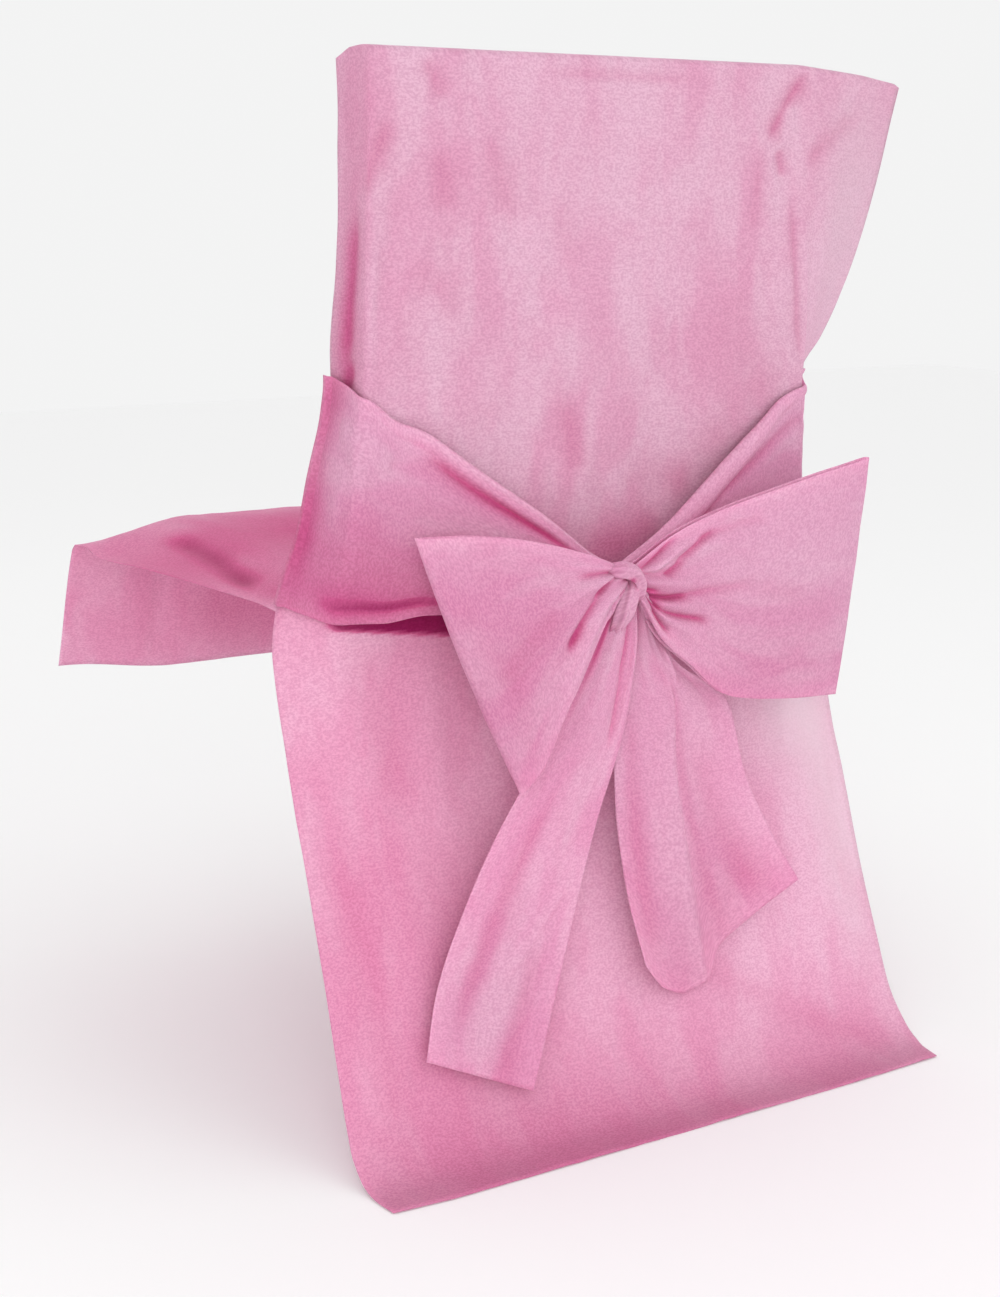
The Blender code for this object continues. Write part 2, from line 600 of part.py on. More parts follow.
def build():
    """Model the cover, its sash and the bow."""
    for old in list(bpy.data.objects):
        bpy.data.objects.remove(old)
    collection = bpy.data.collections.new(OBJECT)
    bpy.context.scene.collection.children.link(collection)
    holder = bpy.data.objects.new(OBJECT + "_origin", None)
    holder.location = (0, RAIL_DEPTH / 2, SHEET - TOP_HEIGHT)
    collection.objects.link(holder)

    add_part("bow_knot", knot_mesh("bow_knot"), collection, holder, PINK)
    cover = add_part("cover", mesh_from_grid("cover", cover_grid()), collection, holder, PINK)
    thicken(cover, -1)

    tails = (
        ("sash_tail_left", TAIL_LEFT, TAIL_LEFT_HEM, TAIL_LEFT_GATHERS),
        ("sash_tail_right", TAIL_RIGHT, TAIL_RIGHT_HEM, TAIL_RIGHT_GATHERS),
    )
    sheets = [
        ("sash_left", gathered(sash_grid(SASH_LEFT, *SASH_STEPS), SASH_GATHERS, -1)),
        ("sash_right", gathered(sash_grid(SASH_RIGHT, *SASH_STEPS), SASH_GATHERS)),
        ("bow_loop_left", loop_grid(LOOP_LEFT, *LOOP_STEPS)),
        ("bow_loop_right", loop_grid(LOOP_RIGHT, *LOOP_STEPS)),
    ]
    for name, rows, hem, gathers in tails:
        sheets.append((name, tail_grid(rows, hem, gathers, *TAIL_STEPS)))
    for name, grid in sheets:
        sheet = add_part(name, mesh_from_grid(name, grid), collection, holder, PINK)
        thicken(sheet, 0)


build()
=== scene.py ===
"""Dress the chair cover: its spunbonded cloth, its sash and the bow behind the backrest."""

from dataclasses import dataclass
from enum import Enum
import logging
import math
from typing import ClassVar, NamedTuple, Optional, Sequence, Union

import bmesh
import bpy
from mathutils import Matrix
import numpy as np


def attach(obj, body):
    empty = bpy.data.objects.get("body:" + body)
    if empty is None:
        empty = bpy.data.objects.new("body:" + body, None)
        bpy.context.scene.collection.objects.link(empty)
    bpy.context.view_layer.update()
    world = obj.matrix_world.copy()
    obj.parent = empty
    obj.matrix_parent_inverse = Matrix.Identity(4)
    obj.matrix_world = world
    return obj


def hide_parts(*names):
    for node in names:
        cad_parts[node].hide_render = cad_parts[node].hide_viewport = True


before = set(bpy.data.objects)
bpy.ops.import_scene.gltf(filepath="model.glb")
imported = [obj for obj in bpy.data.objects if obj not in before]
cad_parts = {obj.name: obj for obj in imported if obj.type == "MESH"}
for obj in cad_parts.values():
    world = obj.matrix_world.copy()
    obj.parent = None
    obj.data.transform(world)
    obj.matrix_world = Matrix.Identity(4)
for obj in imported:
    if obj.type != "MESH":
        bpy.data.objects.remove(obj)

Array = np.ndarray
Piece = bpy.types.Object
Material = bpy.types.Material
Tree = bpy.types.NodeTree
Socket = bpy.types.NodeSocket
LOG = logging.getLogger("chair_cover")
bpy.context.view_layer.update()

TOP_HEIGHT = 0.870       # top of the cover above the floor
RAIL_DEPTH = 0.034       # front to back over the rail
CAD_SHEET = 0.0015       # thickness that the solids give the cloth
CLOTH = 0.0006           # thickness of the cloth here
PLACE = np.array((0.0, RAIL_DEPTH / 2, CAD_SHEET - TOP_HEIGHT))
UV_NAME = "cloth"

TAPER = 0.25             # share of a crease over which it dies out at each end
CRISP_TIP = 0.3          # roundness of a crisp crease, in half widths
CRISP_FALL = 1.2
STEP_FALL = 0.22         # steep side of a step, in half widths
FULL_LIFT = 0.0034       # lift at which a trough's painted shade and a ridge's painted highlight are full
# Painted shade laid into crease troughs, and the trough lift at which it stops growing
TROUGH_PAINTED_SHADE = 0.58
DEEPEST_TROUGH_SHADE = 1.4
# Painted highlight laid along crease ridges, and the ridge lift at which it stops growing
RIDGE_PAINTED_HIGHLIGHT = 0.30
BRIGHTEST_RIDGE_HIGHLIGHT = 1.3
NOISE_CELLS = 64
MERGE = 1e-5             # distance under which points along seams become one
SLIVER = 1e-6            # length under which an edge is dissolved


class Slot(Enum):
    """Material slots of the record."""

    COVER = "cover_cloth"
    SASH = "sash_cloth"


class Profile(Enum):
    """How a crease falls away from its line."""

    SOFT = "soft"
    CRISP = "crisp"
    STEP = "step"


class Mark(Enum):
    """Values that a sheet carries from point to point for its material."""

    # Painted shade, with some deeper tone, laid into the colour
    DEPTH = "depth"
    # Painted highlights and painted light, with some paler tone, laid into the colour
    GLOW = "glow"
    SHEER = "sheer"


class BackRow(NamedTuple):
    """A height of the back panel. Run is the length of cloth from the top fold."""

    run: float
    post_y: float
    post_z: float
    left_x: float
    left_y: float
    left_z: float
    post_l_x: float
    post_r_x: float
    right_x: float
    right_y: float
    right_z: float


class FrontRow(NamedTuple):
    """A height of the front panel, whose edges are the back panel's."""

    run: float
    post_y: float
    post_z: float
    post_l_x: float
    post_r_x: float


class SeatRow(NamedTuple):
    """A place down the seat panel and the front flap."""

    run: float
    mid_y: float
    mid_z: float
    left_x: float
    left_y: float
    left_z: float
    right_x: float
    right_y: float
    right_z: float


class SashRow(NamedTuple):
    """The two edges of a sash on the back panel, and how far each stands off it."""

    top_across: float
    top_run: float
    top_lift: float
    low_across: float
    low_run: float
    low_lift: float


class EdgeRow(NamedTuple):
    """The two edges of a loop or a tail at one place along it."""

    first_x: float
    first_y: float
    first_z: float
    last_x: float
    last_y: float
    last_z: float


class HemRow(NamedTuple):
    """How much further down a hem reaches at one share across."""

    across: float
    drop: float


class Crease(NamedTuple):
    """A ridge, or a trough where height is negative, between two places on flat cloth.

    Height and half width are in metres, and bend bows the line sideways.
    """

    across_a: float
    along_a: float
    across_b: float
    along_b: float
    height: float
    half_width: float
    profile: Profile = Profile.SOFT
    bend: float = 0.0


class Patch(NamedTuple):
    """A soft oval on flat cloth where a value of the material is higher."""

    across: float
    along: float
    wide: float
    long: float
    amount: float
    lean: float = 0.0


class Roll(NamedTuple):
    """A rolled strand of the knot: its points, and its half thickness at each."""

    points: tuple
    radii: tuple


class Lamp(NamedTuple):
    """A soft light, and where it stands round the cover."""

    name: str
    azimuth: float
    elevation: float
    distance: float
    size: float
    power: float


def table(kind: type, *rows: tuple) -> tuple:
    """Make every row of a table one of its kind."""
    return tuple(kind(*row) for row in rows)


SOFT, CRISP, STEP = Profile.SOFT, Profile.CRISP, Profile.STEP

BACK = table(
    BackRow,
    (0.000, 0.000, 0.870, 0.219, -0.038, 0.866, 0.209, -0.209, -0.322, -0.006, 0.859),
    (0.040, 0.000, 0.830, 0.219, -0.036, 0.828, 0.210, -0.211, -0.313, -0.007, 0.823),
    (0.080, 0.000, 0.790, 0.220, -0.036, 0.789, 0.211, -0.212, -0.303, -0.007, 0.784),
    (0.120, 0.000, 0.750, 0.220, -0.037, 0.750, 0.212, -0.213, -0.291, -0.007, 0.745),
    (0.160, -0.001, 0.710, 0.221, -0.040, 0.710, 0.213, -0.214, -0.277, -0.007, 0.707),
    (0.200, -0.001, 0.670, 0.221, -0.049, 0.670, 0.215, -0.215, -0.259, -0.008, 0.668),
    (0.230, -0.002, 0.640, 0.220, -0.056, 0.640, 0.215, -0.217, -0.243, -0.010, 0.640),
    (0.255, -0.003, 0.615, 0.219, -0.058, 0.618, 0.216, -0.220, -0.227, -0.018, 0.614),
    (0.280, -0.004, 0.590, 0.222, -0.060, 0.592, 0.217, -0.220, -0.226, -0.034, 0.590),
    (0.330, -0.008, 0.540, 0.235, -0.062, 0.540, 0.220, -0.221, -0.232, -0.050, 0.540),
    (0.380, -0.013, 0.490, 0.250, -0.059, 0.490, 0.225, -0.225, -0.250, -0.056, 0.490),
    (0.415, -0.018, 0.455, 0.267, -0.054, 0.457, 0.231, -0.224, -0.268, -0.053, 0.457),
    (0.436, -0.021, 0.434, 0.276, -0.049, 0.437, 0.235, -0.216, -0.277, -0.048, 0.437),
    (0.470, -0.023, 0.400, 0.285, -0.037, 0.400, 0.234, -0.195, -0.285, -0.037, 0.400),
    (0.510, -0.022, 0.360, 0.283, -0.032, 0.360, 0.232, -0.184, -0.283, -0.032, 0.360),
    (0.550, -0.019, 0.320, 0.280, -0.026, 0.320, 0.230, -0.182, -0.280, -0.026, 0.320),
    (0.591, -0.012, 0.280, 0.279, -0.015, 0.280, 0.229, -0.181, -0.280, -0.015, 0.280),
    (0.634, 0.001, 0.240, 0.279, 0.001, 0.240, 0.229, -0.181, -0.280, 0.001, 0.240),
    (0.719, 0.031, 0.160, 0.279, 0.030, 0.160, 0.229, -0.181, -0.280, 0.030, 0.160),
    (0.805, 0.061, 0.080, 0.281, 0.061, 0.080, 0.230, -0.183, -0.282, 0.061, 0.080),
    (0.848, 0.077, 0.040, 0.282, 0.077, 0.040, 0.231, -0.183, -0.284, 0.077, 0.040),
    (0.873, 0.092, 0.020, 0.284, 0.092, 0.020, 0.231, -0.183, -0.285, 0.092, 0.020),
    (0.895, 0.111, 0.006, 0.284, 0.111, 0.006, 0.230, -0.183, -0.284, 0.111, 0.006),
    (0.915, 0.130, 0.002, 0.282, 0.130, 0.002, 0.229, -0.182, -0.280, 0.130, 0.002),
    (0.938, 0.153, 0.002, 0.279, 0.149, 0.002, 0.228, -0.181, -0.277, 0.150, 0.002),
)
FRONT = table(
    FrontRow,
    (0.000, -0.034, 0.870, 0.205, -0.206),
    (0.200, -0.037, 0.670, 0.206, -0.208),
    (0.255, -0.042, 0.615, 0.207, -0.209),
    (0.330, -0.052, 0.540, 0.208, -0.208),
    (0.380, -0.060, 0.492, 0.212, -0.208),
    (0.415, -0.070, 0.468, 0.220, -0.205),
    (0.436, -0.086, 0.459, 0.226, -0.195),
)
SEAT = table(
    SeatRow,
    (0.470, -0.118, 0.459, 0.280, -0.075, 0.440, -0.276, -0.075, 0.442),
    (0.530, -0.178, 0.460, 0.287, -0.140, 0.440, -0.271, -0.140, 0.443),
    (0.600, -0.248, 0.461, 0.294, -0.215, 0.439, -0.266, -0.215, 0.443),
    (0.670, -0.318, 0.462, 0.301, -0.295, 0.437, -0.262, -0.295, 0.442),
    (0.730, -0.375, 0.462, 0.309, -0.367, 0.434, -0.258, -0.360, 0.440),
    (0.765, -0.408, 0.461, 0.313, -0.408, 0.441, -0.255, -0.400, 0.442),
    (0.785, -0.426, 0.453, 0.315, -0.427, 0.439, -0.255, -0.420, 0.439),
    (0.800, -0.434, 0.440, 0.316, -0.435, 0.427, -0.255, -0.430, 0.427),
    (0.840, -0.443, 0.401, 0.319, -0.445, 0.392, -0.257, -0.441, 0.393),
    (0.890, -0.451, 0.351, 0.322, -0.454, 0.352, -0.260, -0.449, 0.352),
    (0.940, -0.457, 0.303, 0.326, -0.460, 0.315, -0.262, -0.456, 0.306),
)
# Folds that the solids have too
BACK_FOLDS = table(
    Crease,
    (0.82, 0.01, 0.77, 0.14, -0.004, 0.012),
    (0.90, 0.03, 0.87, 0.23, 0.003, 0.016),
    (0.78, 0.02, 0.80, 0.23, 0.003, 0.014),
    (0.15, 0.09, 0.10, 0.23, -0.004, 0.014),
    (0.27, 0.18, 0.30, 0.36, -0.003, 0.030),
    (0.42, 0.14, 0.44, 0.38, 0.003, 0.028),
    (0.57, 0.20, 0.56, 0.39, -0.004, 0.024),
    (0.69, 0.16, 0.66, 0.35, 0.003, 0.026),
    (0.11, 0.48, 0.13, 0.84, 0.003, 0.030),
    (0.32, 0.50, 0.30, 0.90, -0.004, 0.050),
    (0.60, 0.52, 0.64, 0.90, 0.004, 0.060),
    (0.84, 0.48, 0.86, 0.86, -0.003, 0.030),
)
FRONT_FOLDS = table(
    Crease,
    (0.20, 0.08, 0.23, 0.4, -0.003, 0.030),
    (0.48, 0.12, 0.46, 0.4, 0.003, 0.034),
    (0.72, 0.06, 0.70, 0.4, -0.003, 0.028),
)
SEAT_FOLDS = table(
    Crease,
    (0.05, 0.49, 0.12, 0.72, -0.004, 0.024),
    (0.33, 0.50, 0.30, 0.76, 0.003, 0.040),
    (0.70, 0.48, 0.74, 0.76, -0.004, 0.034),
    (0.26, 0.80, 0.25, 0.94, -0.005, 0.030),
    (0.62, 0.80, 0.64, 0.94, 0.006, 0.036),
)
# Creases of the cloth itself, whose troughs and ridges also get painted shade and highlights
BACK_CREASES = table(
    Crease,
    (0.170, 0.003, 0.206, 0.038, -0.0022, 0.006, CRISP),
    (0.225, 0.001, 0.236, 0.024, 0.0020, 0.006),
    (0.350, 0.012, 0.640, 0.014, -0.0014, 0.004),
    (0.128, 0.048, 0.075, 0.112, -0.0022, 0.008),
    (0.050, 0.110, 0.036, 0.250, -0.0030, 0.010),
    (0.107, 0.112, 0.096, 0.250, 0.0024, 0.005, CRISP),
    (0.198, 0.070, 0.206, 0.125, -0.0012, 0.012),
    (0.272, 0.055, 0.322, 0.135, -0.0012, 0.013),
    (0.383, 0.105, 0.424, 0.170, -0.0010, 0.012),
    (0.160, 0.150, 0.228, 0.210, -0.0010, 0.014),
    (0.398, 0.260, 0.436, 0.350, -0.0012, 0.010),
    (0.283, 0.120, 0.297, 0.155, 0.0018, 0.008),
    (0.330, 0.130, 0.358, 0.180, 0.0018, 0.011),
    (0.383, 0.195, 0.402, 0.250, 0.0018, 0.009),
    (0.178, 0.180, 0.202, 0.230, 0.0018, 0.011),
    (0.268, 0.230, 0.292, 0.280, 0.0022, 0.013),
    (0.374, 0.310, 0.397, 0.365, 0.0020, 0.008),
    (0.430, 0.325, 0.446, 0.385, 0.0020, 0.008),
    (0.498, 0.330, 0.512, 0.375, 0.0020, 0.008),
    (0.834, 0.000, 0.748, 0.066, -0.0040, 0.007, CRISP),
    (0.800, 0.028, 0.800, 0.062, 0.0030, 0.007),
    (0.774, 0.066, 0.786, 0.092, -0.0030, 0.006),
    (0.935, 0.028, 0.828, 0.084, -0.0035, 0.008),
    (0.746, 0.060, 0.727, 0.142, -0.0016, 0.004, CRISP),
    (0.800, 0.098, 0.823, 0.262, -0.0026, 0.0045, CRISP),
    (0.822, 0.098, 0.847, 0.262, 0.0024, 0.004, CRISP),
    (0.055, 0.230, 0.020, 0.300, -0.0035, 0.008),
    (0.560, 0.760, 0.960, 0.900, -0.0014, 0.014),
    (0.600, 0.690, 0.985, 0.860, 0.0022, 0.018),
    (0.130, 0.448, 0.170, 0.620, -0.0012, 0.014),
    (0.230, 0.452, 0.240, 0.660, 0.0026, 0.016),
    (0.700, 0.455, 0.760, 0.640, -0.0010, 0.014),
    (0.880, 0.450, 0.900, 0.660, 0.0028, 0.014),
    (0.050, 0.600, 0.090, 0.880, -0.0010, 0.018),
    (0.430, 0.640, 0.400, 0.910, 0.0022, 0.026),
)
FRONT_CREASES = table(
    Crease,
    (0.11, 0.02, 0.100, 0.30, 0.0030, 0.008, CRISP),
    (0.30, 0.03, 0.330, 0.26, -0.0025, 0.012),
    (0.56, 0.06, 0.600, 0.33, 0.0022, 0.012),
    (0.64, 0.02, 0.660, 0.24, -0.0024, 0.010),
    (0.79, 0.01, 0.812, 0.30, 0.0030, 0.008, CRISP),
    (0.25, 0.33, 0.180, 0.43, -0.0018, 0.016),
    (0.62, 0.33, 0.700, 0.43, -0.0018, 0.016),
)
SEAT_CREASES = table(
    Crease,
    (0.11, 0.73, 0.02, 0.48, -0.0040, 0.012, SOFT, 0.012),
    (0.14, 0.76, 0.07, 0.50, 0.0030, 0.010),
    (0.35, 0.48, 0.40, 0.70, 0.0024, 0.014),
    (0.60, 0.48, 0.56, 0.74, -0.0024, 0.014),
    (0.86, 0.50, 0.90, 0.74, 0.0030, 0.012),
    (0.18, 0.80, 0.17, 0.93, 0.0030, 0.012),
    (0.44, 0.80, 0.43, 0.93, -0.0010, 0.016),
    (0.80, 0.80, 0.82, 0.93, -0.0020, 0.014),
)
# Where the cover gets painted shade and deeper tone, painted highlights and paler tone, and is thin
# enough to see through
COVER_SHADE_AND_TONE = table(
    Patch,
    # Painted shade over the seat
    (0.50, -0.62, 0.600, 0.180, 1.05),
    # Painted shade in a band down the seat's left edge
    (0.112, -0.675, 0.013, 0.030, 0.26),
    (0.095, -0.610, 0.012, 0.036, 0.28),
    (0.065, -0.535, 0.012, 0.036, 0.32),
    (0.040, -0.470, 0.020, 0.028, 0.42),
    (0.32, -0.885, 0.090, 0.060, 0.50),
    # Painted shade on the left side strip and at its edge beside the sash
    (0.035, 0.240, 0.020, 0.150, 0.55),
    (0.000, 0.360, 0.008, 0.070, 0.90),
    # Painted shade under the left sash, on the skirt and along the hem
    (0.03, 0.420, 0.300, 0.020, 0.20),
    (0.20, 0.720, 0.180, 0.260, 0.42),
    (0.55, 0.945, 0.500, 0.075, 0.60),
    # Soft darker spots on the upper back
    (0.08, 0.060, 0.026, 0.060, 0.20),
    (0.21, 0.105, 0.014, 0.030, 0.15),
    (0.29, 0.105, 0.020, 0.036, 0.16),
    (0.22, 0.185, 0.020, 0.034, 0.16),
    (0.15, 0.210, 0.014, 0.032, 0.14),
    (0.41, 0.295, 0.012, 0.040, 0.14, 0.3),
    (0.70, 0.235, 0.050, 0.060, 0.14),
    # Painted shade in the V above the knot and along the sashes' upper edges
    (0.51, 0.400, 0.034, 0.020, 0.55),
    (0.56, 0.384, 0.010, 0.016, 0.40),
    (0.61, 0.352, 0.010, 0.020, 0.30),
    (0.60, 0.345, 0.050, 0.020, 0.20),
    (0.67, 0.312, 0.024, 0.022, 0.30),
    (0.75, 0.270, 0.024, 0.022, 0.22),
    (0.40, 0.385, 0.040, 0.012, 0.22),
)
COVER_LIGHT_AND_PALE = table(
    Patch,
    # Painted highlight on the right ear
    (0.93, 0.120, 0.050, 0.120, 0.90),
    # Painted highlights along ridges of the back
    (0.10, 0.180, 0.006, 0.070, 0.45),
    (0.06, 0.500, 0.030, 0.040, 0.40),
    (0.50, 0.100, 0.090, 0.090, 0.30),
    (0.24, 0.015, 0.012, 0.014, 0.40),
    (0.36, 0.040, 0.028, 0.030, 0.35),
    (0.30, 0.145, 0.014, 0.022, 0.50),
    (0.35, 0.160, 0.012, 0.030, 0.55),
    (0.39, 0.230, 0.013, 0.030, 0.55),
    (0.19, 0.210, 0.009, 0.026, 0.40),
    (0.28, 0.250, 0.014, 0.034, 0.45),
    (0.385, 0.345, 0.008, 0.030, 0.50),
    (0.44, 0.355, 0.008, 0.026, 0.50),
    (0.505, 0.350, 0.008, 0.028, 0.45),
    (0.81, 0.047, 0.010, 0.014, 0.60),
    # Painted light in the shade that the bow casts on the skirt
    (0.34, 0.590, 0.050, 0.070, 0.20),
    (0.50, 0.690, 0.060, 0.090, 0.45),
    (0.76, 0.800, 0.060, 0.070, 0.35),
    (0.86, 0.590, 0.050, 0.050, 0.70),
)
COVER_SHEER = table(
    Patch,
    (0.94, 0.12, 0.04, 0.12, 0.16),
    (0.93, 0.56, 0.05, 0.07, 0.50),
    (0.97, 0.69, 0.03, 0.11, 0.42),
)
# The sash, the loops and the tails
SASH_LEFT = table(
    SashRow,
    (0.006, 0.250, 0.0024, 0.006, 0.432, 0.0024),
    (0.045, 0.254, 0.0034, 0.045, 0.438, 0.0040),
    (0.090, 0.262, 0.0042, 0.095, 0.443, 0.0060),
    (0.135, 0.281, 0.0050, 0.145, 0.443, 0.0140),
    (0.172, 0.289, 0.0080, 0.202, 0.437, 0.0250),
    (0.258, 0.323, 0.0160, 0.270, 0.438, 0.0330),
    (0.352, 0.360, 0.0240, 0.345, 0.436, 0.0390),
    (0.425, 0.392, 0.0350, 0.425, 0.433, 0.0420),
    (0.465, 0.405, 0.0470, 0.465, 0.425, 0.0450),
)
SASH_RIGHT = table(
    SashRow,
    (0.994, 0.256, 0.0014, 0.994, 0.432, 0.0014),
    (0.915, 0.262, 0.0024, 0.930, 0.438, 0.0030),
    (0.835, 0.270, 0.0036, 0.860, 0.443, 0.0055),
    (0.782, 0.280, 0.0050, 0.800, 0.445, 0.0130),
    (0.738, 0.300, 0.0080, 0.745, 0.442, 0.0220),
    (0.682, 0.324, 0.0135, 0.680, 0.438, 0.0310),
    (0.616, 0.352, 0.0215, 0.615, 0.434, 0.0380),
    (0.542, 0.380, 0.0330, 0.540, 0.431, 0.0420),
    (0.458, 0.404, 0.0460, 0.460, 0.424, 0.0440),
)
LOOP_LEFT = table(
    EdgeRow,
    (0.006, 0.051, 0.462, 0.006, 0.052, 0.444),
    (0.034, 0.053, 0.474, 0.024, 0.056, 0.424),
    (0.078, 0.054, 0.488, 0.046, 0.058, 0.386),
    (0.125, 0.055, 0.498, 0.070, 0.061, 0.345),
    (0.166, 0.053, 0.502, 0.088, 0.060, 0.306),
    (0.194, 0.048, 0.502, 0.103, 0.054, 0.286),
)
LOOP_RIGHT = table(
    EdgeRow,
    (-0.004, 0.051, 0.464, -0.008, 0.050, 0.440),
    (-0.042, 0.053, 0.487, -0.030, 0.050, 0.401),
    (-0.092, 0.054, 0.504, -0.062, 0.052, 0.373),
    (-0.152, 0.055, 0.518, -0.105, 0.055, 0.340),
    (-0.214, 0.053, 0.530, -0.170, 0.056, 0.330),
    (-0.258, 0.046, 0.536, -0.224, 0.052, 0.326),
)
TAIL_LEFT = table(
    EdgeRow,
    (0.006, 0.044, 0.450, -0.0086, 0.042, 0.447),
    (0.024, 0.038, 0.3985, -0.0147, 0.040, 0.396),
    (0.064, 0.034, 0.326, -0.001, 0.040, 0.314),
    (0.120, 0.038, 0.248, 0.028, 0.047, 0.246),
    (0.160, 0.046, 0.185, 0.054, 0.056, 0.180),
    (0.190, 0.058, 0.130, 0.082, 0.068, 0.105),
    (0.209, 0.075, 0.080, 0.116, 0.089, 0.038),
)
TAIL_RIGHT = table(
    EdgeRow,
    (-0.012, 0.040, 0.440, -0.022, 0.040, 0.436),
    (-0.007, 0.034, 0.400, -0.056, 0.036, 0.376),
    (0.001, 0.029, 0.330, -0.114, 0.038, 0.332),
    (0.000, 0.033, 0.255, -0.132, 0.044, 0.262),
    (-0.002, 0.050, 0.180, -0.155, 0.054, 0.208),
    (-0.006, 0.074, 0.118, -0.180, 0.064, 0.162),
)
TAIL_RIGHT_HEM = table(
    HemRow,
    (0.00, 0.000),
    (0.12, 0.030),
    (0.27, 0.046),
    (0.40, 0.047),
    (0.47, 0.020),
    (0.67, 0.010),
    (1.00, 0.000),
)


def through(stations: Array, values: Array, at: Array) -> Array:
    """Read values off a smooth curve through the stations that never overshoots them.

    Args:
        stations: Where the values are given, rising.
        values: One row of values for each station.
        at: Where to read the curve, in any shape.

    Returns:
        The values, with the shape of `at` and one more axis.
    """
    steps = np.diff(stations)[:, None]
    slopes = np.diff(values, axis=0) / steps
    before, after = slopes[:-1], slopes[1:]
    same_way = before * after > 0
    inner = np.where(same_way, 2 * before * after / np.where(same_way, before + after, 1), 0)
    tangents = np.vstack([slopes[:1], inner, slopes[-1:]])
    at = np.clip(np.asarray(at, float), stations[0], stations[-1])
    span = np.clip(np.searchsorted(stations, at, side="right") - 1, 0, len(steps) - 1)
    step = steps[span]
    part = (at - stations[span])[..., None] / step
    start, end = values[span], values[span + 1]
    leave, arrive = tangents[span] * step, tangents[span + 1] * step
    bend = 3 * (end - start) - 2 * leave - arrive
    twist = 2 * (start - end) + leave + arrive
    return start + part * (leave + part * (bend + part * twist))


def read(rows: Sequence[tuple], at: Array, even: bool = False) -> tuple:
    """Read a table between its rows.

    Args:
        rows: The rows, all of one kind.
        at: Where to read the table, in any shape.
        even: Whether the rows stand evenly from 0 to 1, not where their first field says.

    Returns:
        One row of that kind, whose fields have the shape of `at`.
    """
    values = np.array(rows, float)
    stations = np.linspace(0, 1, len(rows)) if even else values[:, 0]
    return type(rows[0])(*np.moveaxis(through(stations, values, at), -1, 0))


def between_edges(rows: Sequence[EdgeRow], along: Array, across: Array) -> Array:
    """Points of a piece that runs straight across from edge to edge.

    Args:
        rows: The piece's edges.
        along: Share along the piece at each row of points.
        across: Share across it at each column.

    Returns:
        The grid of points.
    """
    row = read(rows, along, True)
    first, last = (np.stack(edge, -1)[:, None] for edge in (row[:3], row[3:]))
    share = across[None, :, None]
    return first * (1 - share) + last * share


def smooth_step(value: Array) -> Array:
    """Ease from 0 to 1."""
    value = np.clip(value, 0.0, 1.0)
    return value * value * (3 - 2 * value)


def within(value: Array, start: float, end: Union[Array, float], blur: float) -> Array:
    """Ease from 0 to 1 after the start, and back before the end."""
    return smooth_step((value - start) / blur) * smooth_step((end - value) / blur)


def grid_normals(grid: Array) -> Array:
    """Unit normals of a grid of points, columns crossed with rows."""
    normals = np.cross(np.gradient(grid, axis=1), np.gradient(grid, axis=0))
    return normals / np.maximum(np.linalg.norm(normals, axis=-1, keepdims=True), 1e-9)


def facing_back(grid: Array) -> Array:
    """Unit normals of a grid, turned to the side from which the bow is seen."""
    normals = grid_normals(grid)
    return normals if normals[..., 1].mean() > 0 else -normals


def soft_noise(x: Array, y: Array, seed: int) -> Array:
    """Smooth random heights, the same on every run.

    Args:
        x: Place across, in cells.
        y: Place along, in cells.
        seed: Seed of the heights.

    Returns:
        Heights between -1 and 1.
    """
    corners = np.random.default_rng(seed).uniform(-1, 1, (NOISE_CELLS, NOISE_CELLS))
    x, y = np.broadcast_arrays(x, y)
    cell_x, cell_y = np.floor(x).astype(int), np.floor(y).astype(int)
    part_x, part_y = smooth_step(x - cell_x), smooth_step(y - cell_y)

    def value(step_x: int, step_y: int) -> Array:
        """The height at one corner of each point's cell."""
        return corners[(cell_x + step_x) % NOISE_CELLS, (cell_y + step_y) % NOISE_CELLS]

    near = value(0, 0) * (1 - part_x) + value(1, 0) * part_x
    far = value(0, 1) * (1 - part_x) + value(1, 1) * part_x
    return near * (1 - part_y) + far * part_y


def link(data: bpy.types.ID, name: str) -> Piece:
    """Put an object with this data into the scene.

    Args:
        data: A mesh, curve, light or camera.
        name: Name of the object.

    Returns:
        The object.
    """
    piece = bpy.data.objects.new(name, data)
    bpy.context.scene.collection.objects.link(piece)
    return piece


def declare(piece: Piece, node: str, slot: Slot) -> None:
    """Let a piece ride on the body and stand for its solid.

    Args:
        piece: The finished piece.
        node: The solid that it stands for.
        slot: Not used.
    """
    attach(piece, "root")
    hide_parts(node)


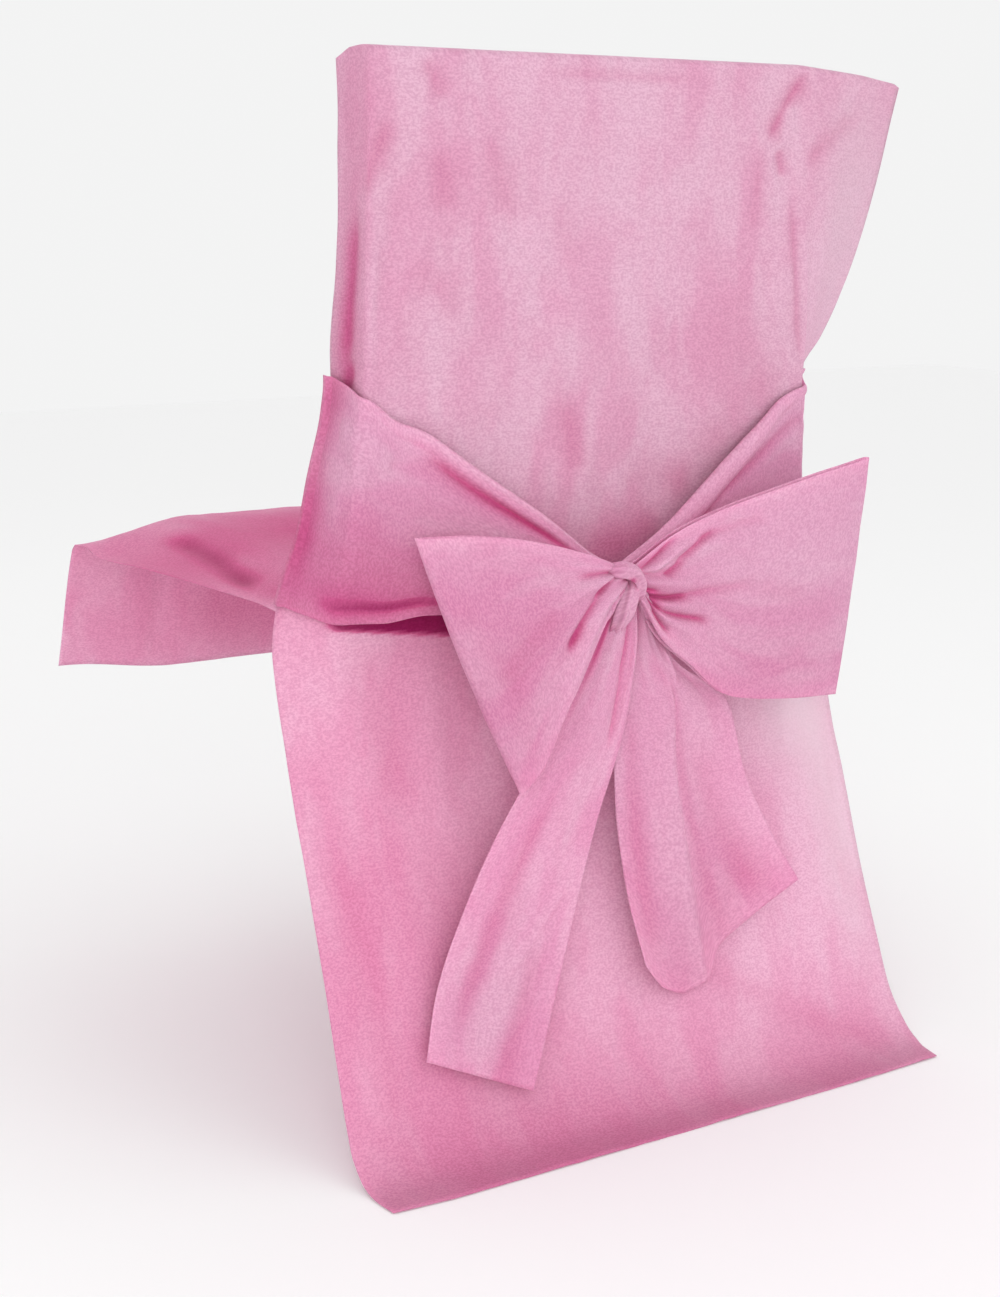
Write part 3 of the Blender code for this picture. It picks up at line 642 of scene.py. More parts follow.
@dataclass(frozen=True)
class Cloth:
    """Places on a piece of flat cloth.

    Across is a share of the width, and along is a share of the length or, on the cover, the
    run. Size is the width and length that they stand for, in metres.
    """

    across: Array
    along: Array
    size: tuple

    @classmethod
    def grid(cls, across: Array, along: Array, size: tuple) -> "Cloth":
        """Columns at each place across, and rows at each place along."""
        return cls(*np.broadcast_arrays(across[None, :], along[:, None]), size)

    def relief(self, creases: Sequence[Crease]) -> Array:
        """Add up how far creases lift each place.

        Args:
            creases: The ridges and troughs.

        Returns:
            The heights, in metres.
        """
        x, y = self.across * self.size[0], self.along * self.size[1]
        heights = np.zeros(x.shape)
        for crease in creases:
            start = np.array((crease.across_a * self.size[0], crease.along_a * self.size[1]))
            line = np.array((crease.across_b * self.size[0], crease.along_b * self.size[1])) - start
            length = np.linalg.norm(line)
            share = ((x - start[0]) * line[0] + (y - start[1]) * line[1]) / length**2
            off = ((x - start[0]) * line[1] - (y - start[1]) * line[0]) / length
            off = (off + crease.bend * 4 * share * (1 - share)) / crease.half_width
            if crease.profile is Profile.SOFT:
                shape = np.exp(-(off**2))
            elif crease.profile is Profile.CRISP:
                shape = np.exp(-(np.sqrt(off**2 + CRISP_TIP**2) - CRISP_TIP) * CRISP_FALL)
            else:
                shape = np.where(off < 0, np.exp(off), np.exp(-((off / STEP_FALL) ** 2)))
            heights = heights + crease.height * within(share, 0, 1, TAPER) * shape
        return heights

    def patches(self, spots: Sequence[Patch]) -> Array:
        """Add up soft ovals, each full in its middle.

        Args:
            spots: The ovals.

        Returns:
            The sum at each place.
        """
        total = np.zeros(self.across.shape)
        for spot in spots:
            x = (self.across - spot.across) * self.size[0]
            y = (self.along - spot.along) * self.size[1]
            x = x - spot.lean * y
            total = total + spot.amount * np.exp(-((x / spot.wide) ** 2) - (y / spot.long) ** 2)
        return total

    def marks(self, spots: dict, lifts: Array, shade: Union[Array, float] = 0.0) -> dict:
        """Find what the material reads at each place.

        Args:
            spots: The patches of each mark.
            lifts: How far creases lift each place, in metres.
            shade: Further painted shade at each place.

        Returns:
            The values of each mark, with painted shade in troughs and painted highlights on ridges.
        """
        marks = {mark: self.patches(spots.get(mark, ())) for mark in Mark}
        # Painted shade in troughs and painted highlights on ridges, from each crease's lift
        trough = TROUGH_PAINTED_SHADE * np.clip(-lifts / FULL_LIFT, 0, DEEPEST_TROUGH_SHADE)
        marks[Mark.DEPTH] = marks[Mark.DEPTH] + shade + trough
        marks[Mark.GLOW] = marks[Mark.GLOW] + RIDGE_PAINTED_HIGHLIGHT * np.clip(lifts / FULL_LIFT, 0, BRIGHTEST_RIDGE_HIGHLIGHT)
        return marks


@dataclass
class Sheet:
    """A grid of points, their places on the flat cloth, and what the material reads there."""

    points: Array
    cloth: Cloth
    marks: dict

    def mesh(self, name: str) -> bpy.types.Mesh:
        """Make the mesh, with its flat cloth as UV map and its marks as attributes.

        Args:
            name: Name of the mesh.

        Returns:
            A mesh whose doubled points along seams are merged.
        """
        rows, columns = self.points.shape[:2]
        corner = (np.arange(rows - 1)[:, None] * columns + np.arange(columns - 1)).ravel()
        faces = np.stack([corner, corner + 1, corner + columns + 1, corner + columns], -1)
        data = bpy.data.meshes.new(name)
        data.from_pydata((self.points + PLACE).reshape(-1, 3).tolist(), [], faces.tolist())
        flat = np.stack([self.cloth.across, self.cloth.along], -1) * self.cloth.size
        layer = data.uv_layers.new(name=UV_NAME)
        layer.data.foreach_set("uv", flat.reshape(-1, 2)[faces.ravel()].ravel())
        for mark, values in self.marks.items():
            attribute = data.attributes.new(mark.value, "FLOAT", "POINT")
            attribute.data.foreach_set("value", values.astype(np.float32).ravel())
        mesh = bmesh.new()
        mesh.from_mesh(data)
        bmesh.ops.remove_doubles(mesh, verts=mesh.verts, dist=MERGE)
        bmesh.ops.dissolve_degenerate(mesh, edges=mesh.edges, dist=SLIVER)
        mesh.to_mesh(data)
        mesh.free()
        data.shade_smooth()
        return data

    def make(self, name: str, offset: float, material: Material) -> Piece:
        """Make the object, with its material and the cloth's thickness.

        Args:
            name: Name of the piece.
            offset: -1 puts the thickness inside, 0 on both sides.
            material: The cloth.

        Returns:
            The linked object.
        """
        piece = link(self.mesh(name), name)
        piece.data.materials.append(material)
        solid = piece.modifiers.new("thickness", "SOLIDIFY")
        solid.thickness = CLOTH
        solid.offset = offset
        solid.use_even_offset = True
        return piece


class Nodes:
    """Adds nodes to a tree and links them."""

    def __init__(self, tree: Tree) -> None:
        """Keep the tree."""
        self.tree = tree

    def sockets(self, inputs: Sequence[tuple], outputs: Sequence[tuple]) -> tuple:
        """Give the tree its named sockets.

        Args:
            inputs: Name, socket type and, where it has one, default of each input.
            outputs: Name and socket type of each output.

        Returns:
            The outputs of its input node and the inputs of its output node.
        """
        for label, kind, *default in inputs:
            socket = self.tree.interface.new_socket(label, in_out="INPUT", socket_type=kind)
            if default:
                socket.default_value = default[0]
        for label, kind in outputs:
            self.tree.interface.new_socket(label, in_out="OUTPUT", socket_type=kind)
        return self.add("NodeGroupInput").outputs, self.add("NodeGroupOutput").inputs

    def add(self, kind: str, settings: Optional[dict] = None,
            **inputs: object) -> bpy.types.Node:
        """Add a node.

        Args:
            kind: The node's type.
            settings: Properties to set on it.
            **inputs: Values or sockets for its inputs, an underscore for each space.

        Returns:
            The node.
        """
        node = self.tree.nodes.new(kind)
        for name, value in (settings or {}).items():
            setattr(node, name, value)
        for name, value in inputs.items():
            key = int(name[1:]) if name[1:].isdigit() else name.replace("_", " ")
            self.give(node.inputs[key], value)
        return node

    def give(self, socket: Socket, value: object) -> None:
        """Link a socket to an input, or set the input's value.

        Args:
            socket: The input.
            value: A socket or a value.
        """
        if isinstance(value, Socket):
            self.tree.links.new(value, socket)
        else:
            socket.default_value = value

    def math(self, operation: str, first: object, second: object = 0.0,
             clamp: bool = False) -> Socket:
        """A Math node's result."""
        settings = {"operation": operation, "use_clamp": clamp}
        return self.add("ShaderNodeMath", settings, i0=first, i1=second).outputs[0]

    def blend(self, first: Socket, second: Socket, share: float) -> Socket:
        """Two values added up, with this share of the second."""
        return self.math("ADD", self.math("MULTIPLY", first, 1 - share),
                         self.math("MULTIPLY", second, share))

    def mix(self, share: object, first: object, second: object, blend: str = "MIX") -> Socket:
        """A colour Mix node's result."""
        settings = {"data_type": "RGBA", "blend_type": blend}
        return self.add("ShaderNodeMix", settings, i0=share, i6=first, i7=second).outputs[2]

    def ramp(self, value: object, low: float, high: float) -> Socket:
        """Stretch a value so that low becomes 0 and high becomes 1."""
        return self.add("ShaderNodeMapRange", {"interpolation_type": "SMOOTHSTEP"},
                        Value=value, From_Min=low, From_Max=high).outputs[0]

    def noise(self, place: Socket, scale: object, detail: float, roughness: float,
              distortion: float = 0.0) -> Socket:
        """A Noise Texture's value."""
        return self.add("ShaderNodeTexNoise", None, Vector=place, Scale=scale, Detail=detail,
                        Roughness=roughness, Distortion=distortion).outputs[0]


class ClothGroups:
    """Shader node groups that every cloth of the object shares, each built once."""

    FIBRE_STRETCH = (0.85, 1.10, 1.0)
    CLOUD_STRETCH = (1.0, 0.38, 1.0)
    PALE_FIBRE = (1.10, 1.16, 1.12, 1.0)
    DARK_FIBRE = (0.92, 0.84, 0.88, 1.0)
    SPECKLE_SPAN = (0.40, 0.60)
    COARSE_SCALE = 0.3
    COARSE_SHARE = 0.25
    MASK_SPAN = (0.36, 0.64)
    NARROW_SCALE = 4.5
    NARROW_SHARE = 0.18
    SHEER_TINT = (0.78, 0.72, 0.75, 1.0)

    def __init__(self) -> None:
        """Build the groups."""
        self.fibres = self._fibres()
        self.clouds = self._clouds()
        self.tint = self._tint()

    @staticmethod
    def _fibres() -> Tree:
        """Matted fibres: a fine speckle, and the height of the web for the bump.

        Returns:
            The group.
        """
        nodes = Nodes(bpy.data.node_groups.new("fibre_web", "ShaderNodeTree"))
        given, result = nodes.sockets(
            (("Vector", "NodeSocketVector"), ("Fineness", "NodeSocketFloat", 480.0)),
            (("Speckle", "NodeSocketFloat"), ("Height", "NodeSocketFloat")),
        )
        place = nodes.add("ShaderNodeMapping", None, Vector=given[0],
                          Scale=ClothGroups.FIBRE_STRETCH).outputs[0]
        web = nodes.noise(place, given[1], 2.0, 0.65)
        scale = nodes.math("MULTIPLY", given[1], ClothGroups.COARSE_SCALE)
        coarse = nodes.noise(place, scale, 3.0, 0.6)
        both = nodes.blend(web, coarse, ClothGroups.COARSE_SHARE)
        nodes.give(result[0], nodes.ramp(both, *ClothGroups.SPECKLE_SPAN))
        nodes.give(result[1], web)
        return nodes.tree

    @staticmethod
    def _clouds() -> Tree:
        """Soft upright blotches, as thin cloth shows where it lies on what is behind it.

        Returns:
            The group.
        """
        nodes = Nodes(bpy.data.node_groups.new("soft_clouds", "ShaderNodeTree"))
        given, result = nodes.sockets(
            (("Vector", "NodeSocketVector"), ("Size", "NodeSocketFloat", 14.0)),
            (("Mask", "NodeSocketFloat"), ("Wrinkle", "NodeSocketFloat")),
        )
        place = nodes.add("ShaderNodeMapping", None, Vector=given[0],
                          Scale=ClothGroups.CLOUD_STRETCH).outputs[0]
        broad = nodes.noise(place, given[1], 2.0, 0.5, 0.5)
        scale = nodes.math("MULTIPLY", given[1], ClothGroups.NARROW_SCALE)
        narrow = nodes.noise(place, scale, 3.0, 0.55)
        both = nodes.blend(broad, narrow, ClothGroups.NARROW_SHARE)
        nodes.give(result[0], nodes.ramp(both, *ClothGroups.MASK_SPAN))
        nodes.give(result[1], narrow)
        return nodes.tree

    @staticmethod
    def _tint() -> Tree:
        """The cloth's colour from its dyes, its painted shade and deeper tone, its painted
        highlights and paler tone, and where it is sheer.

        Returns:
            The group.
        """
        nodes = Nodes(bpy.data.node_groups.new("cloth_tint", "ShaderNodeTree"))
        dyes = [(name, "NodeSocketColor") for name in ("Pale", "Full", "Deep", "Darkest")]
        masks = (("Clouds", 0.5), ("Speckle", 0.5), ("Depth", 0.0), ("Glow", 0.0),
                 ("Sheer", 0.0), ("Grain", 0.05))
        given, result = nodes.sockets(
            dyes + [(name, "NodeSocketFloat", value) for name, value in masks],
            (("Color", "NodeSocketColor"),),
        )
        pale, full, deep, darkest, clouds, speckle, depth, glow, sheer, grain = given[:10]

        def over(body: Socket, amount: Socket, dye: object, operation: str = "MULTIPLY") -> Socket:
            """Lay a dye over the body, by an amount that is clamped."""
            return nodes.mix(nodes.math(operation, amount, 1.0, True), body, dye)

        # Painted shade and deeper tone pull the body to the shaded pink and past it to the shadow
        # pink; painted highlights and paler tone pull it to the pale pink
        body = over(nodes.mix(clouds, full, pale), depth, deep)
        body = over(body, depth, darkest, "SUBTRACT")
        body = over(body, glow, pale)
        fibres = nodes.mix(speckle, nodes.mix(1.0, body, ClothGroups.DARK_FIBRE, "MULTIPLY"),
                           nodes.mix(1.0, body, ClothGroups.PALE_FIBRE, "MULTIPLY"))
        body = nodes.mix(grain, body, fibres)
        nodes.give(result[0], over(body, sheer, ClothGroups.SHEER_TINT))
        return nodes.tree


@dataclass(frozen=True)
class ClothFinish:
    """Pink spunbonded cloth: its pinks, with a shaded pink for painted shade and deeper tone and a
    shadow pink for painted shadow, its web and its hand.
    """

    name: str
    pale: tuple
    full: tuple
    # Shaded pink, for painted shade and deeper tone
    deep: tuple
    # Shadow pink, for the strongest painted shadow
    darkest: tuple = (0.24, 0.006, 0.075, 1)
    cloud_size: float = 19.0
    fineness: float = 480.0
    grain: float = 0.85
    roughness: float = 0.82
    rough_swing: float = 0.1
    sheerest: float = 0.45
    crumple: float = 0.35
    crumple_depth: float = 0.0016
    felt: float = 0.28
    felt_depth: float = 0.00035
    specular: float = 0.15
    sheen: float = 0.10
    sheen_roughness: float = 0.5
    passing: float = 0.9
    passing_radius: tuple = (1.0, 0.65, 0.80)
    passing_scale: float = 0.0025

    def material(self, groups: ClothGroups) -> Material:
        """Make the material.

        Args:
            groups: The shared node groups.

        Returns:
            The material, which reads the piece's own UV map and attributes.
        """
        material = bpy.data.materials.new(self.name)
        material.use_nodes = True
        nodes = Nodes(material.node_tree)
        shader = material.node_tree.nodes["Principled BSDF"]
        place = nodes.add("ShaderNodeUVMap", {"uv_map": UV_NAME}).outputs[0]
        fibres = nodes.add("ShaderNodeGroup", {"node_tree": groups.fibres}, Vector=place,
                           Fineness=self.fineness).outputs
        clouds = nodes.add("ShaderNodeGroup", {"node_tree": groups.clouds}, Vector=place,
                           Size=self.cloud_size).outputs
        # Attributes of painted shade with deeper tone, painted highlights with paler tone, and
        # sheerness
        depth, glow, sheer = (
            nodes.add("ShaderNodeAttribute", {"attribute_name": mark.value}).outputs["Fac"]
            for mark in Mark
        )
        tint = nodes.add(
            "ShaderNodeGroup", {"node_tree": groups.tint}, Pale=self.pale, Full=self.full,
            Deep=self.deep, Darkest=self.darkest, Clouds=clouds["Mask"],
            Speckle=fibres["Speckle"], Depth=depth, Glow=glow, Sheer=sheer, Grain=self.grain,
        )
        rough = nodes.math("SUBTRACT", self.roughness + self.rough_swing / 2,
                           nodes.math("MULTIPLY", fibres["Speckle"], self.rough_swing))
        thin = nodes.math("MULTIPLY", sheer, self.sheerest, True)
        creased = nodes.add("ShaderNodeBump", None, Strength=self.crumple,
                            Distance=self.crumple_depth, Height=clouds["Wrinkle"])
        felted = nodes.add("ShaderNodeBump", None, Strength=self.felt, Distance=self.felt_depth,
                           Height=fibres["Height"], Normal=creased.outputs[0])
        shader.subsurface_method = "BURLEY"
        for name, value in (
            ("Base Color", tint.outputs[0]),
            ("Roughness", rough),
            ("Alpha", nodes.math("SUBTRACT", 1.0, thin, True)),
            ("Normal", felted.outputs[0]),
            ("Specular IOR Level", self.specular),
            ("Sheen Weight", self.sheen),
            ("Sheen Roughness", self.sheen_roughness),
            ("Subsurface Weight", self.passing),
            ("Subsurface Radius", self.passing_radius),
            ("Subsurface Scale", self.passing_scale),
        ):
            nodes.give(shader.inputs[name], value)
        return material


# Each cloth's third pink is its shaded pink, for painted shade and deeper tone
PANEL_CLOTH = ClothFinish(
    "cover_cloth_pink", (0.67, 0.395, 0.52, 1), (0.64, 0.305, 0.445, 1), (0.50, 0.09, 0.225, 1),
    passing=0.65,
)
SASH_CLOTH = ClothFinish(
    "sash_cloth_pink", (0.66, 0.355, 0.495, 1), (0.63, 0.272, 0.43, 1), (0.50, 0.083, 0.222, 1),
    cloud_size=24.0,
)


@dataclass(frozen=True)
class Hollow:
    """Where the skirt leaves the seat, in shade under the left sash."""

    start: float = 0.065
    end: float = 0.360
    fade: float = 0.030
    top: float = 0.424
    low: float = 0.4475
    low_at: float = 0.086
    slope: float = 0.088
    under: float = 0.003
    blur: float = 0.004
    amount: float = 1.9

    def shade(self, across: Array, run: Array) -> Array:
        """How much painted shade deepens the cloth's colour.

        Args:
            across: Share across the strip.
            run: Length of cloth from the top fold.

        Returns:
            The painted shade to add at each point.
        """
        hem = self.low + self.slope * (across - self.low_at)
        ends = within(across, self.start, self.end, self.fade)
        return self.amount * ends * within(run, self.top, hem + self.under, self.blur)


@dataclass
class CoverStrip:
    """The strip of cloth that is bagged over the backrest and runs down both sides of it."""

    width: float = 0.560
    seam_end: float = 0.436
    back_hem: float = 0.938
    front_hem: float = 0.940
    seat_half: float = 0.205
    ear_gap: float = 0.008
    ear_fade: float = 0.030
    ear_round: float = 0.08
    corner_round: float = 0.006
    post_left: float = 0.090
    post_right: float = 0.825
    top_rise: float = 0.0056
    edge_fade: float = 0.04
    seat_edge_fade: float = 0.03
    broad_height: float = 0.0009
    broad_cell: tuple = (0.034, 0.110, 0.200)
    fine_height: float = 0.0004
    fine_cell: tuple = (0.013, 0.030, 0.050)
    near_fold: tuple = (0.002, 0.004, 0.007)
    below_fold: float = 0.010
    skirt_crowded: float = 1.3
    rise_share: float = 0.3
    columns: int = 118
    bag_rows: int = 108
    skirt_rows: int = 104
    seat_rows: int = 52
    bridge_rows: int = 5
    spread_steps: int = 400
    close_columns: tuple = ((0.80, 0.05, 1.5), (0.06, 0.06, 1.4))
    top_profile: tuple = ((0.10, 0.62), (0.28, 0.90), (0.5, 1.0), (0.72, 0.90), (0.90, 0.62))

    def _corners(self, across: Array) -> Array:
        """Share of the four corners of a section at each place across it, eased at the posts.

        Args:
            across: Share across the strip.

        Returns:
            Four shares for each place.
        """
        marks = (0, self.post_left, self.post_right, 1)

        def hats(where: Array) -> Array:
            """Straight-line shares between neighbouring corners."""
            return np.stack([np.interp(where, marks, row) for row in np.eye(4)], -1)

        offsets = (-1.0, -0.5, 0.0, 0.5, 1.0)
        eased = sum(hats(np.clip(across + o * self.corner_round, 0, 1)) for o in offsets)
        at_edge = (across <= 0) | (across >= 1)
        return np.where(at_edge[..., None], hats(across), eased / len(offsets))

    def bag(self, across: Array, run: Array, rear: bool = True) -> Array:
        """Points of a side of the bag, with its half of the spare cloth at the right.

        Args:
            across: Share across the strip, from its left edge as seen from behind.
            run: Length of cloth from the top fold.
            rear: Whether it is the back panel, not the front one between the same seams.

        Returns:
            One point for each pair, on the outer face.
        """
        across, run = np.broadcast_arrays(across, run)
        seam = read(BACK, run)
        post = seam if rear else read(FRONT, run)
        corners = (
            (seam.left_x, seam.left_y, seam.left_z),
            (post.post_l_x, post.post_y, post.post_z),
            (post.post_r_x, post.post_y, post.post_z),
            (seam.right_x, seam.right_y, seam.right_z),
        )
        corners = np.stack([np.stack(corner, -1) for corner in corners], -2)
        points = np.einsum("...m,...mc->...c", self._corners(across), corners)
        share = np.clip((1 - across) / (1 - self.post_right), 0, 1)
        fade = smooth_step((self.seam_end - run) / self.ear_fade)
        puff = self.ear_gap / 2 * smooth_step(share / self.ear_round) * (1 - share) * fade
        points[..., 1] += puff if rear else -puff
        return points

    def seat(self, across: Array, run: Array) -> Array:
        """Points of the seat panel and the front flap.

        Args:
            across: Share across the strip, from the same edge.
            run: Length of cloth from the top fold.

        Returns:
            One point for each pair.
        """
        across, run = np.broadcast_arrays(across, run)
        row = read(SEAT, run)
        x = row.left_x + (row.right_x - row.left_x) * across
        on_left = x > 0
        reach = np.where(on_left, row.left_x, -row.right_x) - self.seat_half
        past = smooth_step((np.abs(x) - self.seat_half) / reach)
        y = row.mid_y + (np.where(on_left, row.left_y, row.right_y) - row.mid_y) * past
        z = row.mid_z + (np.where(on_left, row.left_z, row.right_z) - row.mid_z) * past
        return np.stack([x, y, z], -1)

    def outer(self, across: Array, run: Array, step: float = 0.004) -> tuple:
        """Find where something lies on the back panel.

        Args:
            across: Share across the panel.
            run: Length of cloth from the top fold.
            step: How far apart the points are from which a normal is found.

        Returns:
            The points and the normals there.
        """
        here = self.bag(across, run)
        right, left = (self.bag(np.clip(across + by, 0, 1), run) for by in (step, -step))
        down = self.bag(across, np.minimum(run + step, self.back_hem)) - here
        normal = np.cross(down, right - left)
        return here, normal / np.linalg.norm(normal, axis=-1, keepdims=True)

    def _spread(self) -> Array:
        """Places of the columns, closer together at the posts.

        Returns:
            Shares across the strip.
        """
        even = np.linspace(0, 1, self.spread_steps)
        density = np.ones(len(even))
        for place, wide, extra in self.close_columns:
            density += extra * np.exp(-(((even - place) / wide) ** 2))
        total = np.cumsum(density)
        total = (total - total[0]) / (total[-1] - total[0])
        return np.interp(np.linspace(0, 1, self.columns), total, even)

    def _pressed(self, grid: Array, across: Array, run: Array, folds: Sequence[Crease],
                 creases: Sequence[Crease], seed: int, fade_over: float) -> tuple:
        """A panel with its folds, its creases and its slight unevenness.

        Args:
            grid: The panel's smooth points.
            across: Share across at each column.
            run: Run at each row.
            folds: The broad folds, which leave no mark.
            creases: The creases, whose troughs get painted shade and whose ridges get painted
                highlights.
            seed: Seed of the unevenness.
            fade_over: Share of the width over which they die out at a side edge.

        Returns:
            The pressed points, and how far the creases lift each.
        """
        cloth = Cloth.grid(across, run, (self.width, 1.0))
        lifts = cloth.relief(creases)
        x, y = cloth.across * self.width, cloth.along
        wide, long, lean = self.broad_cell
        broad = self.broad_height * soft_noise(x / wide + y / lean, y / long, seed)
        wide, long, lean = self.fine_cell
        fine = self.fine_height * soft_noise(x / wide, y / long + x / lean, seed + 1)
        fade = within(cloth.across, 0, 1, fade_over)
        heights = (lifts + cloth.relief(folds) + broad + fine) * fade
        return grid + grid_normals(grid) * heights[..., None], lifts * fade

    def sheet(self) -> Sheet:
        """The whole strip, from the rear hem up and over the rail to the front hem.

        Returns:
            The strip's outer face.
        """
        across = self._spread()
        bag = np.linspace(self.below_fold, self.seam_end, self.bag_rows - len(self.near_fold))
        bag = np.concatenate([self.near_fold, bag])
        eased = np.linspace(0, 1, self.skirt_rows + 1)[1:] ** self.skirt_crowded
        skirt = self.seam_end + (self.back_hem - self.seam_end) * eased
        back_run = np.concatenate([bag, skirt])[::-1]
        seat_run = np.linspace(SEAT[0].run, self.front_hem, self.seat_rows)
        back, back_lift = self._pressed(
            self.bag(across[None, :], back_run[:, None]), across, back_run,
            BACK_FOLDS, BACK_CREASES, 3, self.edge_fade,
        )
        front, front_lift = self._pressed(
            self.bag(across[None, :], bag[:, None], False), across, bag,
            FRONT_FOLDS, FRONT_CREASES, 11, self.edge_fade,
        )
        seat, seat_lift = self._pressed(
            self.seat(across[None, :], seat_run[:, None]), across, seat_run,
            SEAT_FOLDS, SEAT_CREASES, 19, self.seat_edge_fade,
        )
        shares = np.linspace(0, 1, self.bridge_rows + 2)[1:-1, None, None]
        bridge = front[-1] * (1 - shares) + seat[0] * shares
        bridge_run = np.interp(shares.ravel(), (0, 1), (self.seam_end, SEAT[0].run))
        gap = np.linalg.norm(front[0] - back[-1], axis=1)
        rise = np.minimum(self.top_rise, gap * self.rise_share)
        top = np.array([back[-1] * (1 - share) + front[0] * share for share, _ in self.top_profile])
        top[..., 2] += [rise * height for _, height in self.top_profile]
        points = np.concatenate([back, top, front, bridge, seat])
        run = np.concatenate([back_run, np.zeros(len(top)), -bag, -bridge_run, -seat_run])
        lifts = np.concatenate([
            back_lift, np.zeros(top.shape[:2]), front_lift, np.zeros(bridge.shape[:2]), seat_lift
        ])
        cloth = Cloth.grid(across, run, (self.width, 1.0))
        spots = {Mark.DEPTH: COVER_SHADE_AND_TONE, Mark.GLOW: COVER_LIGHT_AND_PALE, Mark.SHEER: COVER_SHEER}
        shade = Hollow().shade(cloth.across, cloth.along)
        return Sheet(points, cloth, cloth.marks(spots, lifts, shade))

    def build(self, material: Material) -> Piece:
        """Args:
            material: The cover's cloth.

        Returns:
            The finished piece.
        """
        piece = self.sheet().make("cover_strip", -1, material)
        declare(piece, "cover", Slot.COVER)
        return piece


COVER = CoverStrip()


@dataclass
class Pleats:
    """Folds that run out of the knot into a piece and open as it widens."""

    count: float
    height: float
    reach: float
    phase: float = 0.0
    uneven: float = 0.25
    flattened: float = 0.35
    edge: float = 0.06
    wander_cells: tuple = (5, 3)
    second: float = 0.25
    second_phase: float = 0.6
    fade_power: float = 1.3

    def heights(self, cloth: Cloth, seed: int) -> Array:
        """How far the pleats lift each place.

        Args:
            cloth: The piece's cloth, along from the knot.
            seed: Seed of their unevenness.

        Returns:
            The heights, in metres.
        """
        across, along = cloth.across, cloth.along
        x, y = across * self.wander_cells[0], along * self.wander_cells[1]
        wander = self.uneven * soft_noise(x, y, seed)
        angle = 2 * math.pi * (across * self.count + self.phase + wander)
        wave = np.sin(angle) + self.second * np.sin(2 * angle + self.second_phase)
        fade = smooth_step(1 - along / self.reach) ** self.fade_power
        full = self.flattened + (1 - self.flattened) * within(across, 0, 1, self.edge)
        return self.height * wave * fade * full


@dataclass
class SashPiece:
    """A piece of the sash: one strip of cloth with its own creases and marks."""

    name: str
    node: str
    rows: Sequence[tuple]
    seed: int
    flat: tuple
    creases: Sequence[Crease]
    # Patches of painted shade and deeper tone
    depth: Sequence[Patch]
    # Patches of painted highlights and paler tone
    glow: Sequence[Patch]
    pleats: Optional[Pleats] = None
    held: ClassVar[str] = "hung"
    rests_on: ClassVar[str] = "knot_rolls"
    uneven: ClassVar[float] = 0.0005
    cells: ClassVar[tuple] = (6, 6)

    def sheet(self) -> Sheet:
        """The piece's cloth, which each kind of piece makes in its own way."""
        raise NotImplementedError

    def heights(self, cloth: Cloth) -> Array:
        """How far creases, pleats and unevenness lift each place.

        Args:
            cloth: The piece's cloth.

        Returns:
            The heights, in metres.
        """
        heights = cloth.relief(self.creases)
        if self.pleats:
            heights = heights + self.pleats.heights(cloth, self.seed)
        x, y = cloth.across * self.cells[0], cloth.along * self.cells[1]
        return heights + self.uneven * soft_noise(x, y, self.seed + 2)

    def marks(self, cloth: Cloth, lifts: Array) -> dict:
        """What the material reads from the piece's patches and creases: painted shade and deeper
        tone, painted highlights and paler tone.
        """
        return cloth.marks({Mark.DEPTH: self.depth, Mark.GLOW: self.glow}, lifts)

    def build(self, material: Material) -> Piece:
        """Args:
            material: The sash's cloth.

        Returns:
            The finished piece.
        """
        piece = self.sheet().make(self.name, 0, material)
        declare(piece, self.node, Slot.SASH)
        return piece


@dataclass
class Sash(SashPiece):
    """One side of the sash, which lies on the back panel from its seam to the knot."""

    roll: float = 0.0035
    roll_wide: float = 0.015
    roll_start: float = 0.12
    roll_grow: float = 0.50
    roll_least: float = 0.25
    roll_most: float = 0.8
    crowded: float = 1.35
    end_turn: tuple = (0.0026, -0.0060)
    end_reach: float = 0.0034
    length_steps: int = 90
    width_steps: int = 56
    held: ClassVar[str] = "stretched"
    rests_on: ClassVar[str] = "cover_strip"
    cells: ClassVar[tuple] = (9, 5)

    def sheet(self) -> Sheet:
        """The sash's middle face on the back panel.

        Returns:
            The sheet, with its first row at the seam.
        """
        along = np.linspace(0, 1, self.length_steps)
        # Columns lie closer together in the roll along the top edge.
        share = np.linspace(0, 1, self.width_steps) ** self.crowded
        cloth = Cloth.grid(share, along, self.flat)
        row = SashRow(*(field[:, None] for field in read(self.rows, along, True)))
        across = row.top_across + (row.low_across - row.top_across) * share
        run = row.top_run + (row.low_run - row.top_run) * share
        lift = row.top_lift + (row.low_lift - row.top_lift) * share
        grown = smooth_step((along - self.roll_start) / self.roll_grow)[:, None]
        reach = np.hypot((row.low_across - row.top_across) * COVER.width,
                         row.low_run - row.top_run)
        opened = self.roll_least + (1 - self.roll_least) * grown
        roll_share = np.minimum(self.roll_wide * opened / reach, self.roll_most)
        turn = np.clip(share / roll_share, 0, 1)
        lift = lift + self.roll * grown * np.sqrt(np.clip(1 - (2 * turn - 1) ** 2, 0, 1))
        points, normals = COVER.outer(across, run)
        heights = self.heights(cloth)
        points = points + normals * lift[..., None] + normals * heights[..., None]
        # The end turns round the bag's seam.
        side = np.sign(points[0, 0, 0])
        points[0] += (side * self.end_turn[0], self.end_turn[1], 0)
        points[1] += (side * self.end_reach, 0, 0)
        return Sheet(points, cloth, self.marks(cloth, heights))


